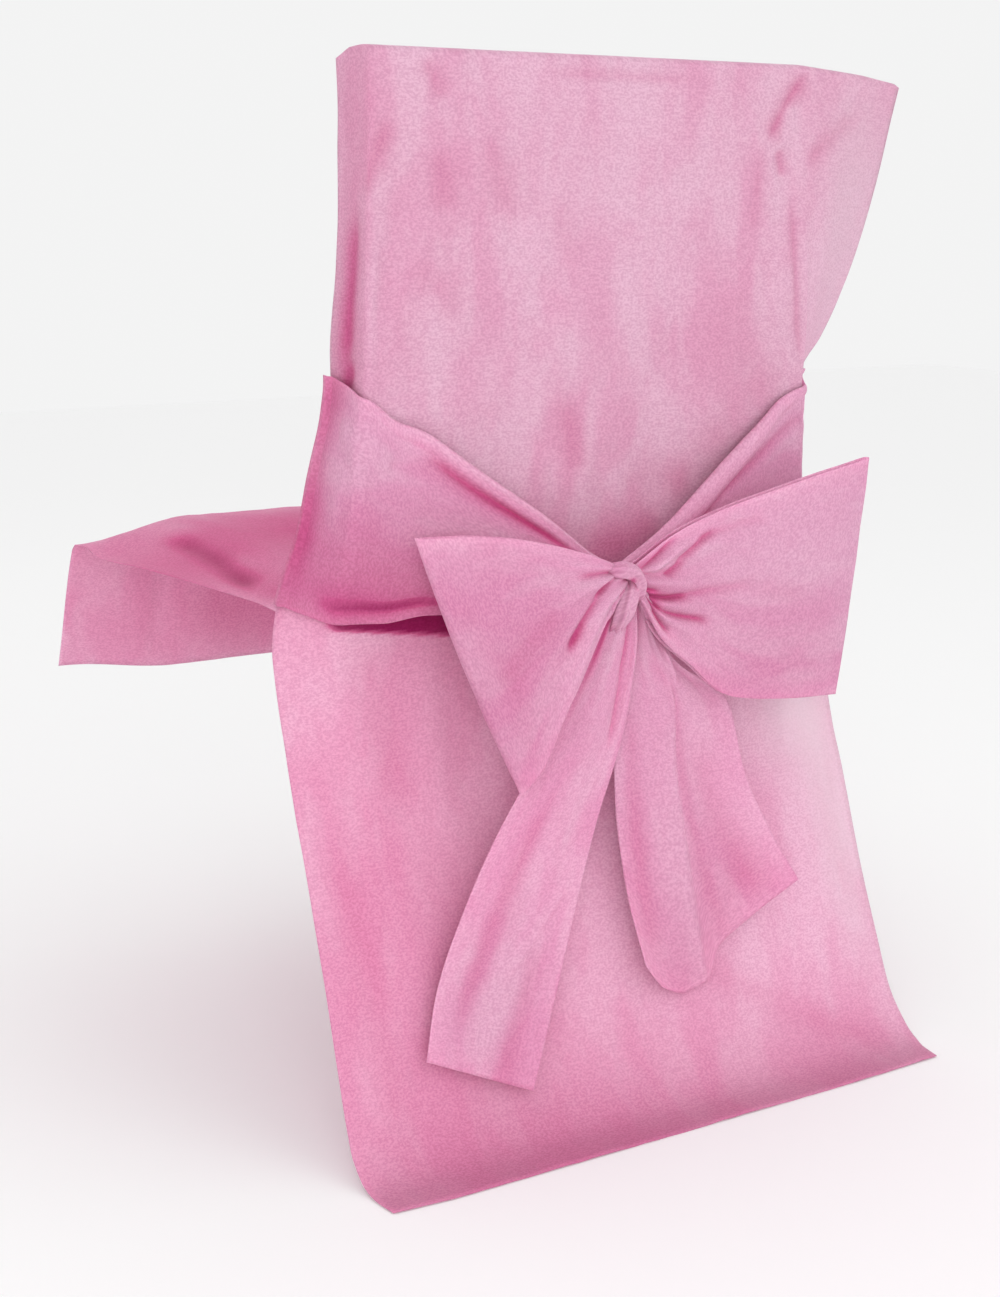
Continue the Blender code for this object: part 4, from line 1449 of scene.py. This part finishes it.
@dataclass
class BowLoop(SashPiece):
    """A loop of the bow: two layers from the knot to a fold."""

    thickness: float = 0.013
    waist: float = 0.80
    rim: float = 0.45
    rim_edge: float = 0.03
    crown: float = 0.004
    crown_power: float = 0.8
    back_pleats: float = 0.6
    fold_reach: float = 0.9
    length_steps: int = 76
    width_steps: int = 100
    turn_steps: int = 7
    held: ClassVar[str] = "gathered"
    cells: ClassVar[tuple] = (7, 6)

    def sheet(self) -> Sheet:
        """Both layers, out to the fold and back.

        Returns:
            The sheet, with its first row in the front layer at the knot.
        """
        along = np.linspace(0, 1, self.length_steps)
        share = np.linspace(0, 1, self.width_steps)
        half = (self.flat[0], self.flat[1] / 2)
        layer = Cloth.grid(share, along, half)
        x, y = layer.across, layer.along
        front = between_edges(self.rows, along, share)
        normals = facing_back(front)
        outward = front[-1] - front[-2]
        outward = outward / np.linalg.norm(outward, axis=1, keepdims=True)
        bulge = np.sin(np.pi * np.clip(x, self.rim_edge, 1 - self.rim_edge)) ** 0.5
        gap = self.thickness * (self.waist + (1 - self.waist) * along)[:, None]
        back = front.copy()
        back[..., 1] -= gap * (self.rim + (1 - self.rim) * bulge)
        heights = self.heights(layer)
        crown = self.crown * np.sin(np.pi * x) * np.sin(np.pi * y) ** self.crown_power
        front = front + normals * (heights + crown)[..., None]
        pleated = self.back_pleats * self.pleats.heights(layer, self.seed)
        back = back + normals * pleated[..., None]
        end = front[-1] - back[-1]
        middle = (front[-1] + back[-1]) / 2
        radius = np.linalg.norm(end, axis=1, keepdims=True) / 2
        fold = [
            middle + outward * radius * self.fold_reach * math.sin(angle)
            + end / 2 * math.cos(angle)
            for angle in np.linspace(0, math.pi, self.turn_steps + 2)[1:-1]
        ]
        points = np.concatenate([front, np.array(fold), back[::-1]])
        whole = Cloth.grid(share, np.linspace(0, 1, len(points)), self.flat)
        lifts = np.zeros(points.shape[:2])
        lifts[: self.length_steps] = heights
        # Marks are given for the front layer, so the back layer repeats them.
        near = Cloth(whole.across, 1 - np.abs(2 * whole.along - 1), half)
        return Sheet(points, whole, self.marks(near, lifts))


@dataclass
class BowTail(SashPiece):
    """A tail of the bow, from the knot to its raw hem."""

    hem: Sequence[HemRow] = ()
    hem_part: float = 0.4
    length_steps: int = 100
    width_steps: int = 64
    uneven: ClassVar[float] = 0.0006

    def sheet(self) -> Sheet:
        """The tail's middle face.

        Returns:
            The sheet, with its first row at the knot.
        """
        along = np.linspace(0, 1, self.length_steps)
        share = np.linspace(0, 1, self.width_steps)
        cloth = Cloth.grid(share, along, self.flat)
        points = between_edges(self.rows, along, share)
        heights = self.heights(cloth)
        points = points + facing_back(points) * heights[..., None]
        if self.hem:
            reached = smooth_step((cloth.along - (1 - self.hem_part)) / self.hem_part)
            points[..., 2] -= read(self.hem, share).drop[None, :] * reached
        return Sheet(points, cloth, self.marks(cloth, heights))


@dataclass
class Knot:
    """The knot: rolled strands of the sash around a core, swept along their paths."""

    rolls: Sequence[Roll]
    squash: float = 0.72
    ridges: float = 5.0
    ridge_height: float = 0.0011
    wander: float = 7.0
    path_points: int = 56
    profile_points: int = 40
    seed: int = 4
    notch: tuple = (0.004, 0.046, 0.452)
    notch_size: float = 0.0036
    behind_over: float = 0.012
    # Painted shade on the strands: everywhere, on those further back, and in the notch under the
    # turn
    shade_all: float = 0.12
    shade_behind: float = 1.0
    notch_shadow: float = 1.1
    strand_steps: int = 33
    uv_lean: tuple = (0.4, 0.5)
    WANDER_SCALE: ClassVar[float] = 16.0

    @staticmethod
    def _tree(inputs: Sequence[tuple]) -> Tree:
        """Geometry Nodes that sweep a pleated strip of cloth along each path.

        Args:
            inputs: Name and socket type of each input after the paths.

        Returns:
            The tree, which ends in Realize Instances and Set Material.
        """
        tree = bpy.data.node_groups.new("knot_strands", "GeometryNodeTree")
        nodes = Nodes(tree)
        shape = ("Geometry", "NodeSocketGeometry")
        given, result = nodes.sockets([shape, *inputs], [shape])
        path = nodes.add("GeometryNodeResampleCurve", {"mode": "COUNT"},
                         Curve=given["Geometry"], Count=given["Path Points"])
        circle = nodes.add("GeometryNodeCurvePrimitiveCircle", None,
                           Resolution=given["Profile Points"], Radius=1.0)
        oval = nodes.add("ShaderNodeCombineXYZ", None, X=1.0, Y=given["Squash"], Z=1.0)
        shaped = nodes.add("GeometryNodeTransform", None, Geometry=circle.outputs["Curve"],
                           Scale=oval.outputs[0])
        profile = nodes.add("GeometryNodeCaptureAttribute", {"domain": "POINT"},
                            Geometry=shaped.outputs[0])
        profile.capture_items.new("FLOAT", "around")
        nodes.give(profile.inputs[1], nodes.add("GeometryNodeSplineParameter").outputs["Factor"])
        thickness = nodes.add("GeometryNodeInputRadius")
        swept = nodes.add("GeometryNodeCurveToMesh", None, Curve=path.outputs[0],
                          Profile_Curve=profile.outputs[0], Scale=thickness.outputs[0],
                          Fill_Caps=True)
        noise = nodes.add("ShaderNodeTexNoise", {"noise_dimensions": "4D"},
                          Scale=Knot.WANDER_SCALE, Detail=1.0, W=given["Seed"])
        angle = nodes.math("MULTIPLY", profile.outputs[1], 2 * math.pi)
        bent = nodes.math("ADD", nodes.math("MULTIPLY", angle, given["Ridges"]),
                          nodes.math("MULTIPLY", noise.outputs[0], given["Wander"]))
        ridge = nodes.math("MULTIPLY", nodes.math("SINE", bent), given["Ridge Height"])
        normal = nodes.add("GeometryNodeInputNormal")
        push = nodes.add("ShaderNodeVectorMath", {"operation": "SCALE"},
                         i0=normal.outputs[0], Scale=ridge)
        moved = nodes.add("GeometryNodeSetPosition", None, Geometry=swept.outputs[0],
                          Offset=push.outputs[0])
        smooth = nodes.add("GeometryNodeSetShadeSmooth", None, Geometry=moved.outputs[0])
        whole = nodes.add("GeometryNodeRealizeInstances", None, Geometry=smooth.outputs[0])
        dressed = nodes.add("GeometryNodeSetMaterial", None, Geometry=whole.outputs[0],
                            Material=given["Cloth"])
        nodes.give(result[0], dressed.outputs[0])
        return tree

    def _paths(self) -> Piece:
        """The strands' paths, whose point radius is the strand's half thickness.

        Returns:
            A curve object with one spline for each strand.
        """
        data = bpy.data.curves.new("knot_paths", "CURVE")
        data.dimensions = "3D"
        for roll in self.rolls:
            stations = np.linspace(0, 1, len(roll.points))
            strand = np.column_stack([np.array(roll.points), np.array(roll.radii)])
            fine = through(stations, strand, np.linspace(0, 1, self.strand_steps))
            spline = data.splines.new("POLY")
            spline.points.add(len(fine) - 1)
            for point, (x, y, z, radius) in zip(spline.points, fine):
                point.co = (*(np.array((x, y, z)) + PLACE), 1)
                point.radius = radius
        return link(data, "knot_paths")

    def build(self, material: Material) -> Piece:
        """Make the knot as one plain mesh.

        Args:
            material: The sash's cloth.

        Returns:
            The finished piece.
        """
        values = {
            "Path Points": ("NodeSocketInt", self.path_points),
            "Profile Points": ("NodeSocketInt", self.profile_points),
            "Squash": ("NodeSocketFloat", self.squash),
            "Ridges": ("NodeSocketFloat", self.ridges),
            "Ridge Height": ("NodeSocketFloat", self.ridge_height),
            "Wander": ("NodeSocketFloat", self.wander),
            "Seed": ("NodeSocketFloat", float(self.seed)),
            "Cloth": ("NodeSocketMaterial", material),
        }
        paths = self._paths()
        tree = self._tree([(name, kind) for name, (kind, _) in values.items()])
        strands = paths.modifiers.new("strands", "NODES")
        strands.node_group = tree
        for item in tree.interface.items_tree:
            if item.in_out == "INPUT" and item.name in values:
                strands[item.identifier] = values[item.name][1]
        graph = bpy.context.evaluated_depsgraph_get()
        data = bpy.data.meshes.new_from_object(paths.evaluated_get(graph))
        bpy.data.objects.remove(paths)
        data.name = "knot_rolls"
        self._unwrap(data)
        piece = link(data, "knot_rolls")
        declare(piece, "bow_knot", Slot.SASH)
        return piece

    def _unwrap(self, data: bpy.types.Mesh) -> None:
        """Give the mesh outward normals, a UV map in metres and its painted shade, stronger on
        strands further back and in the notch under the turn.

        Args:
            data: The knot's mesh.
        """
        mesh = bmesh.new()
        mesh.from_mesh(data)
        bmesh.ops.recalc_face_normals(mesh, faces=mesh.faces)
        for name in [layer.name for layer in mesh.loops.layers.uv.values()]:
            mesh.loops.layers.uv.remove(mesh.loops.layers.uv[name])
        layer = mesh.loops.layers.uv.new(UV_NAME)
        for face in mesh.faces:
            for loop in face.loops:
                x, y, z = loop.vert.co
                loop[layer].uv = (x + self.uv_lean[0] * y, z - self.uv_lean[1] * y)
        # Painted shade: a little everywhere, more on strands further back, most in the notch under
        # the turn
        depth = mesh.verts.layers.float.new(Mark.DEPTH.value)
        notch = np.array(self.notch) + PLACE
        for vertex in mesh.verts:
            off = math.hypot(vertex.co.x - notch[0], vertex.co.z - notch[2]) / self.notch_size
            behind = max(0.0, min(1.0, (notch[1] - vertex.co.y) / self.behind_over))
            shade = self.shade_all + self.shade_behind * behind
            vertex[depth] = shade + self.notch_shadow * math.exp(-(off**2))
        mesh.to_mesh(data)
        mesh.free()


@dataclass
class Studio:
    """Pale floor, soft lights and the camera."""

    lamps: Sequence[Lamp]
    camera_place: tuple = (0.9010, 1.3705, -0.1192)
    azimuth: float = 149.24
    elevation: float = 12.685
    lens: float = 53.81
    sensor: float = 36.0
    middle: tuple = (0, 0, -0.40)
    floor_height: float = -0.8682
    floor_half: float = 6.0
    floor_white: tuple = (0.98, 0.98, 0.98, 1)
    floor_roughness: float = 0.9
    world_strength: float = 0.90

    def build(self) -> None:
        """Make the floor, the world, the lights and the camera."""
        bpy.context.scene.view_settings.view_transform = "Standard"
        self._camera()
        self._floor()
        self._world()
        for lamp in self.lamps:
            self._light(lamp)

    def _camera(self) -> None:
        """The camera."""
        lens = bpy.data.cameras.new("studio_camera")
        lens.lens = self.lens
        lens.sensor_width = self.sensor
        camera = link(lens, "studio_camera")
        camera.location = self.camera_place
        camera.rotation_euler = (math.radians(90 - self.elevation), 0, math.radians(self.azimuth))
        bpy.context.scene.camera = camera

    def _floor(self) -> None:
        """A plain pale floor far wider than the view."""
        mesh = bmesh.new()
        bmesh.ops.create_grid(mesh, x_segments=1, y_segments=1, size=self.floor_half)
        bmesh.ops.translate(mesh, verts=mesh.verts, vec=(0, 0, self.floor_height))
        data = bpy.data.meshes.new("floor")
        mesh.to_mesh(data)
        mesh.free()
        paint = bpy.data.materials.new("floor_paint")
        paint.use_nodes = True
        shader = paint.node_tree.nodes["Principled BSDF"]
        shader.inputs["Base Color"].default_value = self.floor_white
        shader.inputs["Roughness"].default_value = self.floor_roughness
        data.materials.append(paint)
        link(data, "floor")

    def _world(self) -> None:
        """An even white surround."""
        world = bpy.data.worlds.new("surround")
        world.use_nodes = True
        background = world.node_tree.nodes["Background"]
        background.inputs[0].default_value = (1, 1, 1, 1)
        background.inputs[1].default_value = self.world_strength
        bpy.context.scene.world = world

    def _light(self, lamp: Lamp) -> None:
        """An area light that looks at the middle of the cover.

        Args:
            lamp: Its place, size and power.
        """
        data = bpy.data.lights.new(lamp.name, "AREA")
        data.energy = lamp.power
        data.size = lamp.size
        turn = Matrix.Rotation(math.radians(lamp.azimuth), 4, "Z")
        tilt = Matrix.Rotation(math.radians(90 - lamp.elevation), 4, "X")
        away = Matrix.Translation((0, 0, lamp.distance))
        link(data, lamp.name).matrix_world = Matrix.Translation(self.middle) @ turn @ tilt @ away


# In each piece, the first patch table is painted shade and deeper tone, the second painted
# highlights and paler tone
SASHES = (
    Sash(
        "sash_wrap_left", "sash_left", SASH_LEFT, seed=29, flat=(0.180, 0.245),
        creases=table(
            Crease,
            (0.13, 0.48, 0.20, 0.86, -0.0040, 0.007),
            (0.03, 0.40, 0.03, 0.95, 0.0020, 0.005, CRISP),
            (0.18, 0.12, 0.22, 0.38, 0.0035, 0.012),
            (0.32, 0.20, 0.62, 0.14, 0.0016, 0.006),
            (0.93, 0.14, 0.92, 0.58, -0.0030, 0.005, CRISP),
            (0.55, 0.30, 0.50, 0.90, 0.0020, 0.014),
            (0.75, 0.45, 0.70, 0.97, -0.0024, 0.010),
        ),
        depth=table(Patch, (0.85, 0.27, 0.060, 0.105, 0.78), (0.45, 0.02, 0.100, 0.018, 0.60),
                    (0.06, 0.08, 0.024, 0.022, 0.50), (0.20, 0.72, 0.010, 0.050, 0.60),
                    (0.915, 0.40, 0.0028, 0.036, 0.90)),
        glow=table(Patch, (0.18, 0.27, 0.012, 0.030, 0.25), (0.03, 0.65, 0.006, 0.080, 0.70)),
    ),
    Sash(
        "sash_wrap_right", "sash_right", SASH_RIGHT, seed=29, flat=(0.180, 0.250),
        creases=table(
            Crease,
            (0.15, 0.22, 0.26, 0.74, -0.0026, 0.006),
            (0.24, 0.66, 0.60, 1.02, -0.0034, 0.006),
            (0.60, 0.20, 0.58, 0.90, 0.0022, 0.014),
            (0.80, 0.30, 0.78, 0.95, -0.0024, 0.012),
        ),
        roll=0.0085, roll_wide=0.022,
        depth=table(Patch, (0.42, 0.70, 0.016, 0.030, 0.35)),
        glow=table(Patch, (0.08, 0.50, 0.014, 0.110, 0.60)),
    ),
)
LOOPS = (
    BowLoop(
        "bow_leaf_left", "bow_loop_left", LOOP_LEFT, seed=51,
        creases=table(
            Crease,
            (0.25, 0.00, 0.62, 0.30, -0.0055, 0.007),
            (0.58, 0.24, 0.76, 0.48, -0.0048, 0.006),
            (0.73, 0.33, 0.75, 0.50, -0.0024, 0.010),
            (0.88, 0.38, 0.91, 0.52, -0.0022, 0.006),
            (0.50, -0.08, 0.83, 0.27, 0.0050, 0.018),
            (0.78, 0.18, 0.96, 0.58, 0.0040, 0.014),
            (0.36, -0.05, 0.46, 0.52, 0.0030, 0.012),
            (0.12, -0.06, 0.20, 0.40, 0.0026, 0.012),
            (0.22, -0.04, 0.30, 0.36, -0.0028, 0.009),
            (0.48, 0.40, 0.62, 0.90, -0.0014, 0.014),
        ),
        pleats=Pleats(count=3.0, height=0.0010, reach=0.50),
        flat=(0.180, 0.360),
        depth=table(Patch, (0.50, 0.00, 0.100, 0.012, 0.45), (0.75, 0.42, 0.010, 0.014, 0.12),
                    (0.55, 0.80, 0.090, 0.090, 0.28)),
        glow=table(Patch, (0.90, 0.34, 0.010, 0.030, 0.40)),
    ),
    BowLoop(
        "bow_leaf_right", "bow_loop_right", LOOP_RIGHT, seed=57,
        creases=table(
            Crease,
            (0.74, -0.04, 0.65, 0.18, -0.0060, 0.0060),
            (0.67, 0.12, 0.55, 0.32, -0.0060, 0.0055),
            (0.58, 0.25, 0.43, 0.60, -0.0030, 0.0060),
            (0.68, 0.02, 0.55, 0.16, -0.0040, 0.0050),
            (0.71, 0.02, 0.77, 0.20, -0.0050, 0.0060),
            (0.77, 0.14, 0.69, 0.46, -0.0046, 0.0050),
            (0.77, 0.05, 0.92, 0.28, -0.0046, 0.0065),
            (0.42, 0.17, 0.27, 0.27, -0.0050, 0.0055),
            (0.30, 0.22, 0.11, 0.39, -0.0055, 0.0055),
            (0.29, 0.00, 0.02, 0.22, -0.0040, 0.0060),
            (0.15, 0.29, 0.12, 0.60, -0.0020, 0.0070),
            (0.43, 0.50, 0.55, 0.80, -0.0014, 0.0080),
            (0.22, 0.40, 0.36, 0.60, -0.0012, 0.0100),
            (0.35, 0.05, 0.09, 0.28, 0.0045, 0.0100),
            (0.50, -0.02, 0.45, 0.36, 0.0045, 0.0140),
            (0.70, 0.12, 0.62, 0.38, 0.0032, 0.0080),
            (0.80, 0.12, 0.80, 0.44, 0.0034, 0.0100),
            (0.95, 0.02, 0.96, 0.34, 0.0045, 0.0120),
        ),
        pleats=Pleats(count=4.0, height=0.0008, reach=0.50, phase=0.3),
        flat=(0.200, 0.480),
        depth=table(Patch, (0.55, 0.14, 0.060, 0.050, 0.42), (0.72, 0.10, 0.016, 0.022, 0.45),
                    (0.60, 0.24, 0.010, 0.020, 0.20), (0.80, 0.70, 0.060, 0.090, 0.16)),
        glow=table(Patch, (0.26, 0.16, 0.010, 0.020, 0.50), (0.25, 0.75, 0.060, 0.080, 0.60),
                   (0.38, 0.45, 0.040, 0.050, 0.35)),
    ),
)
TAILS = (
    BowTail(
        "bow_tail_left", "sash_tail_left", TAIL_LEFT, seed=63,
        creases=table(
            Crease,
            (0.84, -0.06, 0.71, 0.25, -0.0034, 0.007),
            (0.71, 0.18, 0.87, 0.36, -0.0024, 0.006),
            (0.95, -0.05, 0.93, 0.40, 0.0030, 0.008),
            (0.40, -0.06, 0.52, 0.42, 0.0040, 0.022),
            (0.92, 0.60, 0.50, 0.82, 0.0034, 0.008, STEP),
            (0.44, 0.38, 0.22, 0.96, -0.0022, 0.012),
            (0.58, 0.22, 0.66, 0.70, 0.0024, 0.014),
            (0.76, 0.70, 0.70, 1.05, -0.0020, 0.012),
        ),
        pleats=Pleats(count=3.0, height=0.0008, reach=0.75, phase=0.2),
        flat=(0.120, 0.400),
        depth=table(Patch, (0.08, 0.13, 0.010, 0.050, 1.30), (0.50, 0.00, 0.060, 0.020, 0.10)),
        glow=table(Patch, (0.80, 0.67, 0.010, 0.040, 0.45)),
    ),
    BowTail(
        "bow_tail_right", "sash_tail_right", TAIL_RIGHT, seed=71, hem=TAIL_RIGHT_HEM,
        creases=table(
            Crease,
            (0.12, -0.06, 0.22, 0.28, -0.0032, 0.006),
            (0.95, 0.16, 0.54, 0.34, 0.0060, 0.012, STEP),
            (0.56, 0.29, 0.45, 0.52, 0.0050, 0.012, STEP),
            (0.47, 0.42, 0.37, 1.06, 0.0060, 0.014, STEP),
            (0.47, -0.06, 0.52, 0.30, 0.0040, 0.020),
            (0.16, 0.34, 0.14, 0.98, -0.0022, 0.010),
            (0.70, 0.45, 0.76, 1.00, -0.0024, 0.016),
        ),
        pleats=Pleats(count=3.0, height=0.0008, reach=0.70, phase=0.1),
        flat=(0.140, 0.335),
        depth=table(Patch, (0.52, 0.60, 0.006, 0.110, 0.35), (0.50, 0.06, 0.100, 0.036, 0.38),
                    (0.40, 0.92, 0.060, 0.070, 0.32)),
        glow=table(Patch, (0.30, 0.60, 0.020, 0.140, 0.35), (0.62, 0.12, 0.010, 0.040, 0.60),
                   (0.80, 0.55, 0.036, 0.090, 0.60)),
    ),
)
KNOT = Knot(
    rolls=(
        # Core that the strands close around
        Roll(((0.014, 0.032, 0.453), (0.002, 0.034, 0.450), (-0.010, 0.032, 0.450)),
             (0.009, 0.013, 0.009)),
        # Turn over the top, from the left down to the right
        Roll(((0.0215, 0.042, 0.4595), (0.0164, 0.051, 0.4620), (0.0109, 0.054, 0.4618),
              (0.0032, 0.055, 0.4596), (-0.0040, 0.054, 0.4545), (-0.0083, 0.052, 0.4478),
              (-0.0093, 0.050, 0.4412), (-0.0099, 0.044, 0.4340)),
             (0.0042, 0.0072, 0.0088, 0.0088, 0.0078, 0.0066, 0.0058, 0.0036)),
        # Rolled lower edge of the left loop where it leaves the knot
        Roll(((0.0150, 0.043, 0.4600), (0.0174, 0.049, 0.4540), (0.0176, 0.051, 0.4450),
              (0.0235, 0.053, 0.4310), (0.0300, 0.051, 0.4170)),
             (0.0035, 0.0044, 0.0052, 0.0050, 0.0020)),
        # Left tail from under the turn
        Roll(((-0.0040, 0.042, 0.4530), (-0.0022, 0.049, 0.4460), (0.0008, 0.051, 0.4385),
              (0.0038, 0.048, 0.4250), (0.0080, 0.038, 0.4050)),
             (0.0050, 0.0066, 0.0074, 0.0080, 0.0040)),
        # Right tail and loop edge from under the turn's end
        Roll(((-0.0120, 0.042, 0.4440), (-0.0165, 0.045, 0.4360), (-0.0215, 0.045, 0.4260),
              (-0.0270, 0.040, 0.4120)),
             (0.0040, 0.0056, 0.0060, 0.0030)),
    ),
)
LAMPS = table(
    Lamp,
    ("key_light", 205.0, 34.0, 2.6, 1.6, 5.0),
    ("front_light", -20.0, 40.0, 2.8, 2.2, 1.5),
    ("fill_light", 149.0, 14.0, 2.6, 1.2, 14.0),
)


def main() -> None:
    """Build and dress every piece, in order."""
    logging.basicConfig(level=logging.INFO, format="%(message)s")
    groups = ClothGroups()
    panel_cloth = PANEL_CLOTH.material(groups)
    sash_cloth = SASH_CLOTH.material(groups)
    Studio(LAMPS).build()
    pieces = [COVER.build(panel_cloth)]
    pieces += [part.build(sash_cloth) for part in (KNOT, *SASHES, *LOOPS, *TAILS)]
    for piece in pieces:
        LOG.info("%s: %d faces", piece.name, len(piece.data.polygons))


if __name__ == "__main__":
    main()
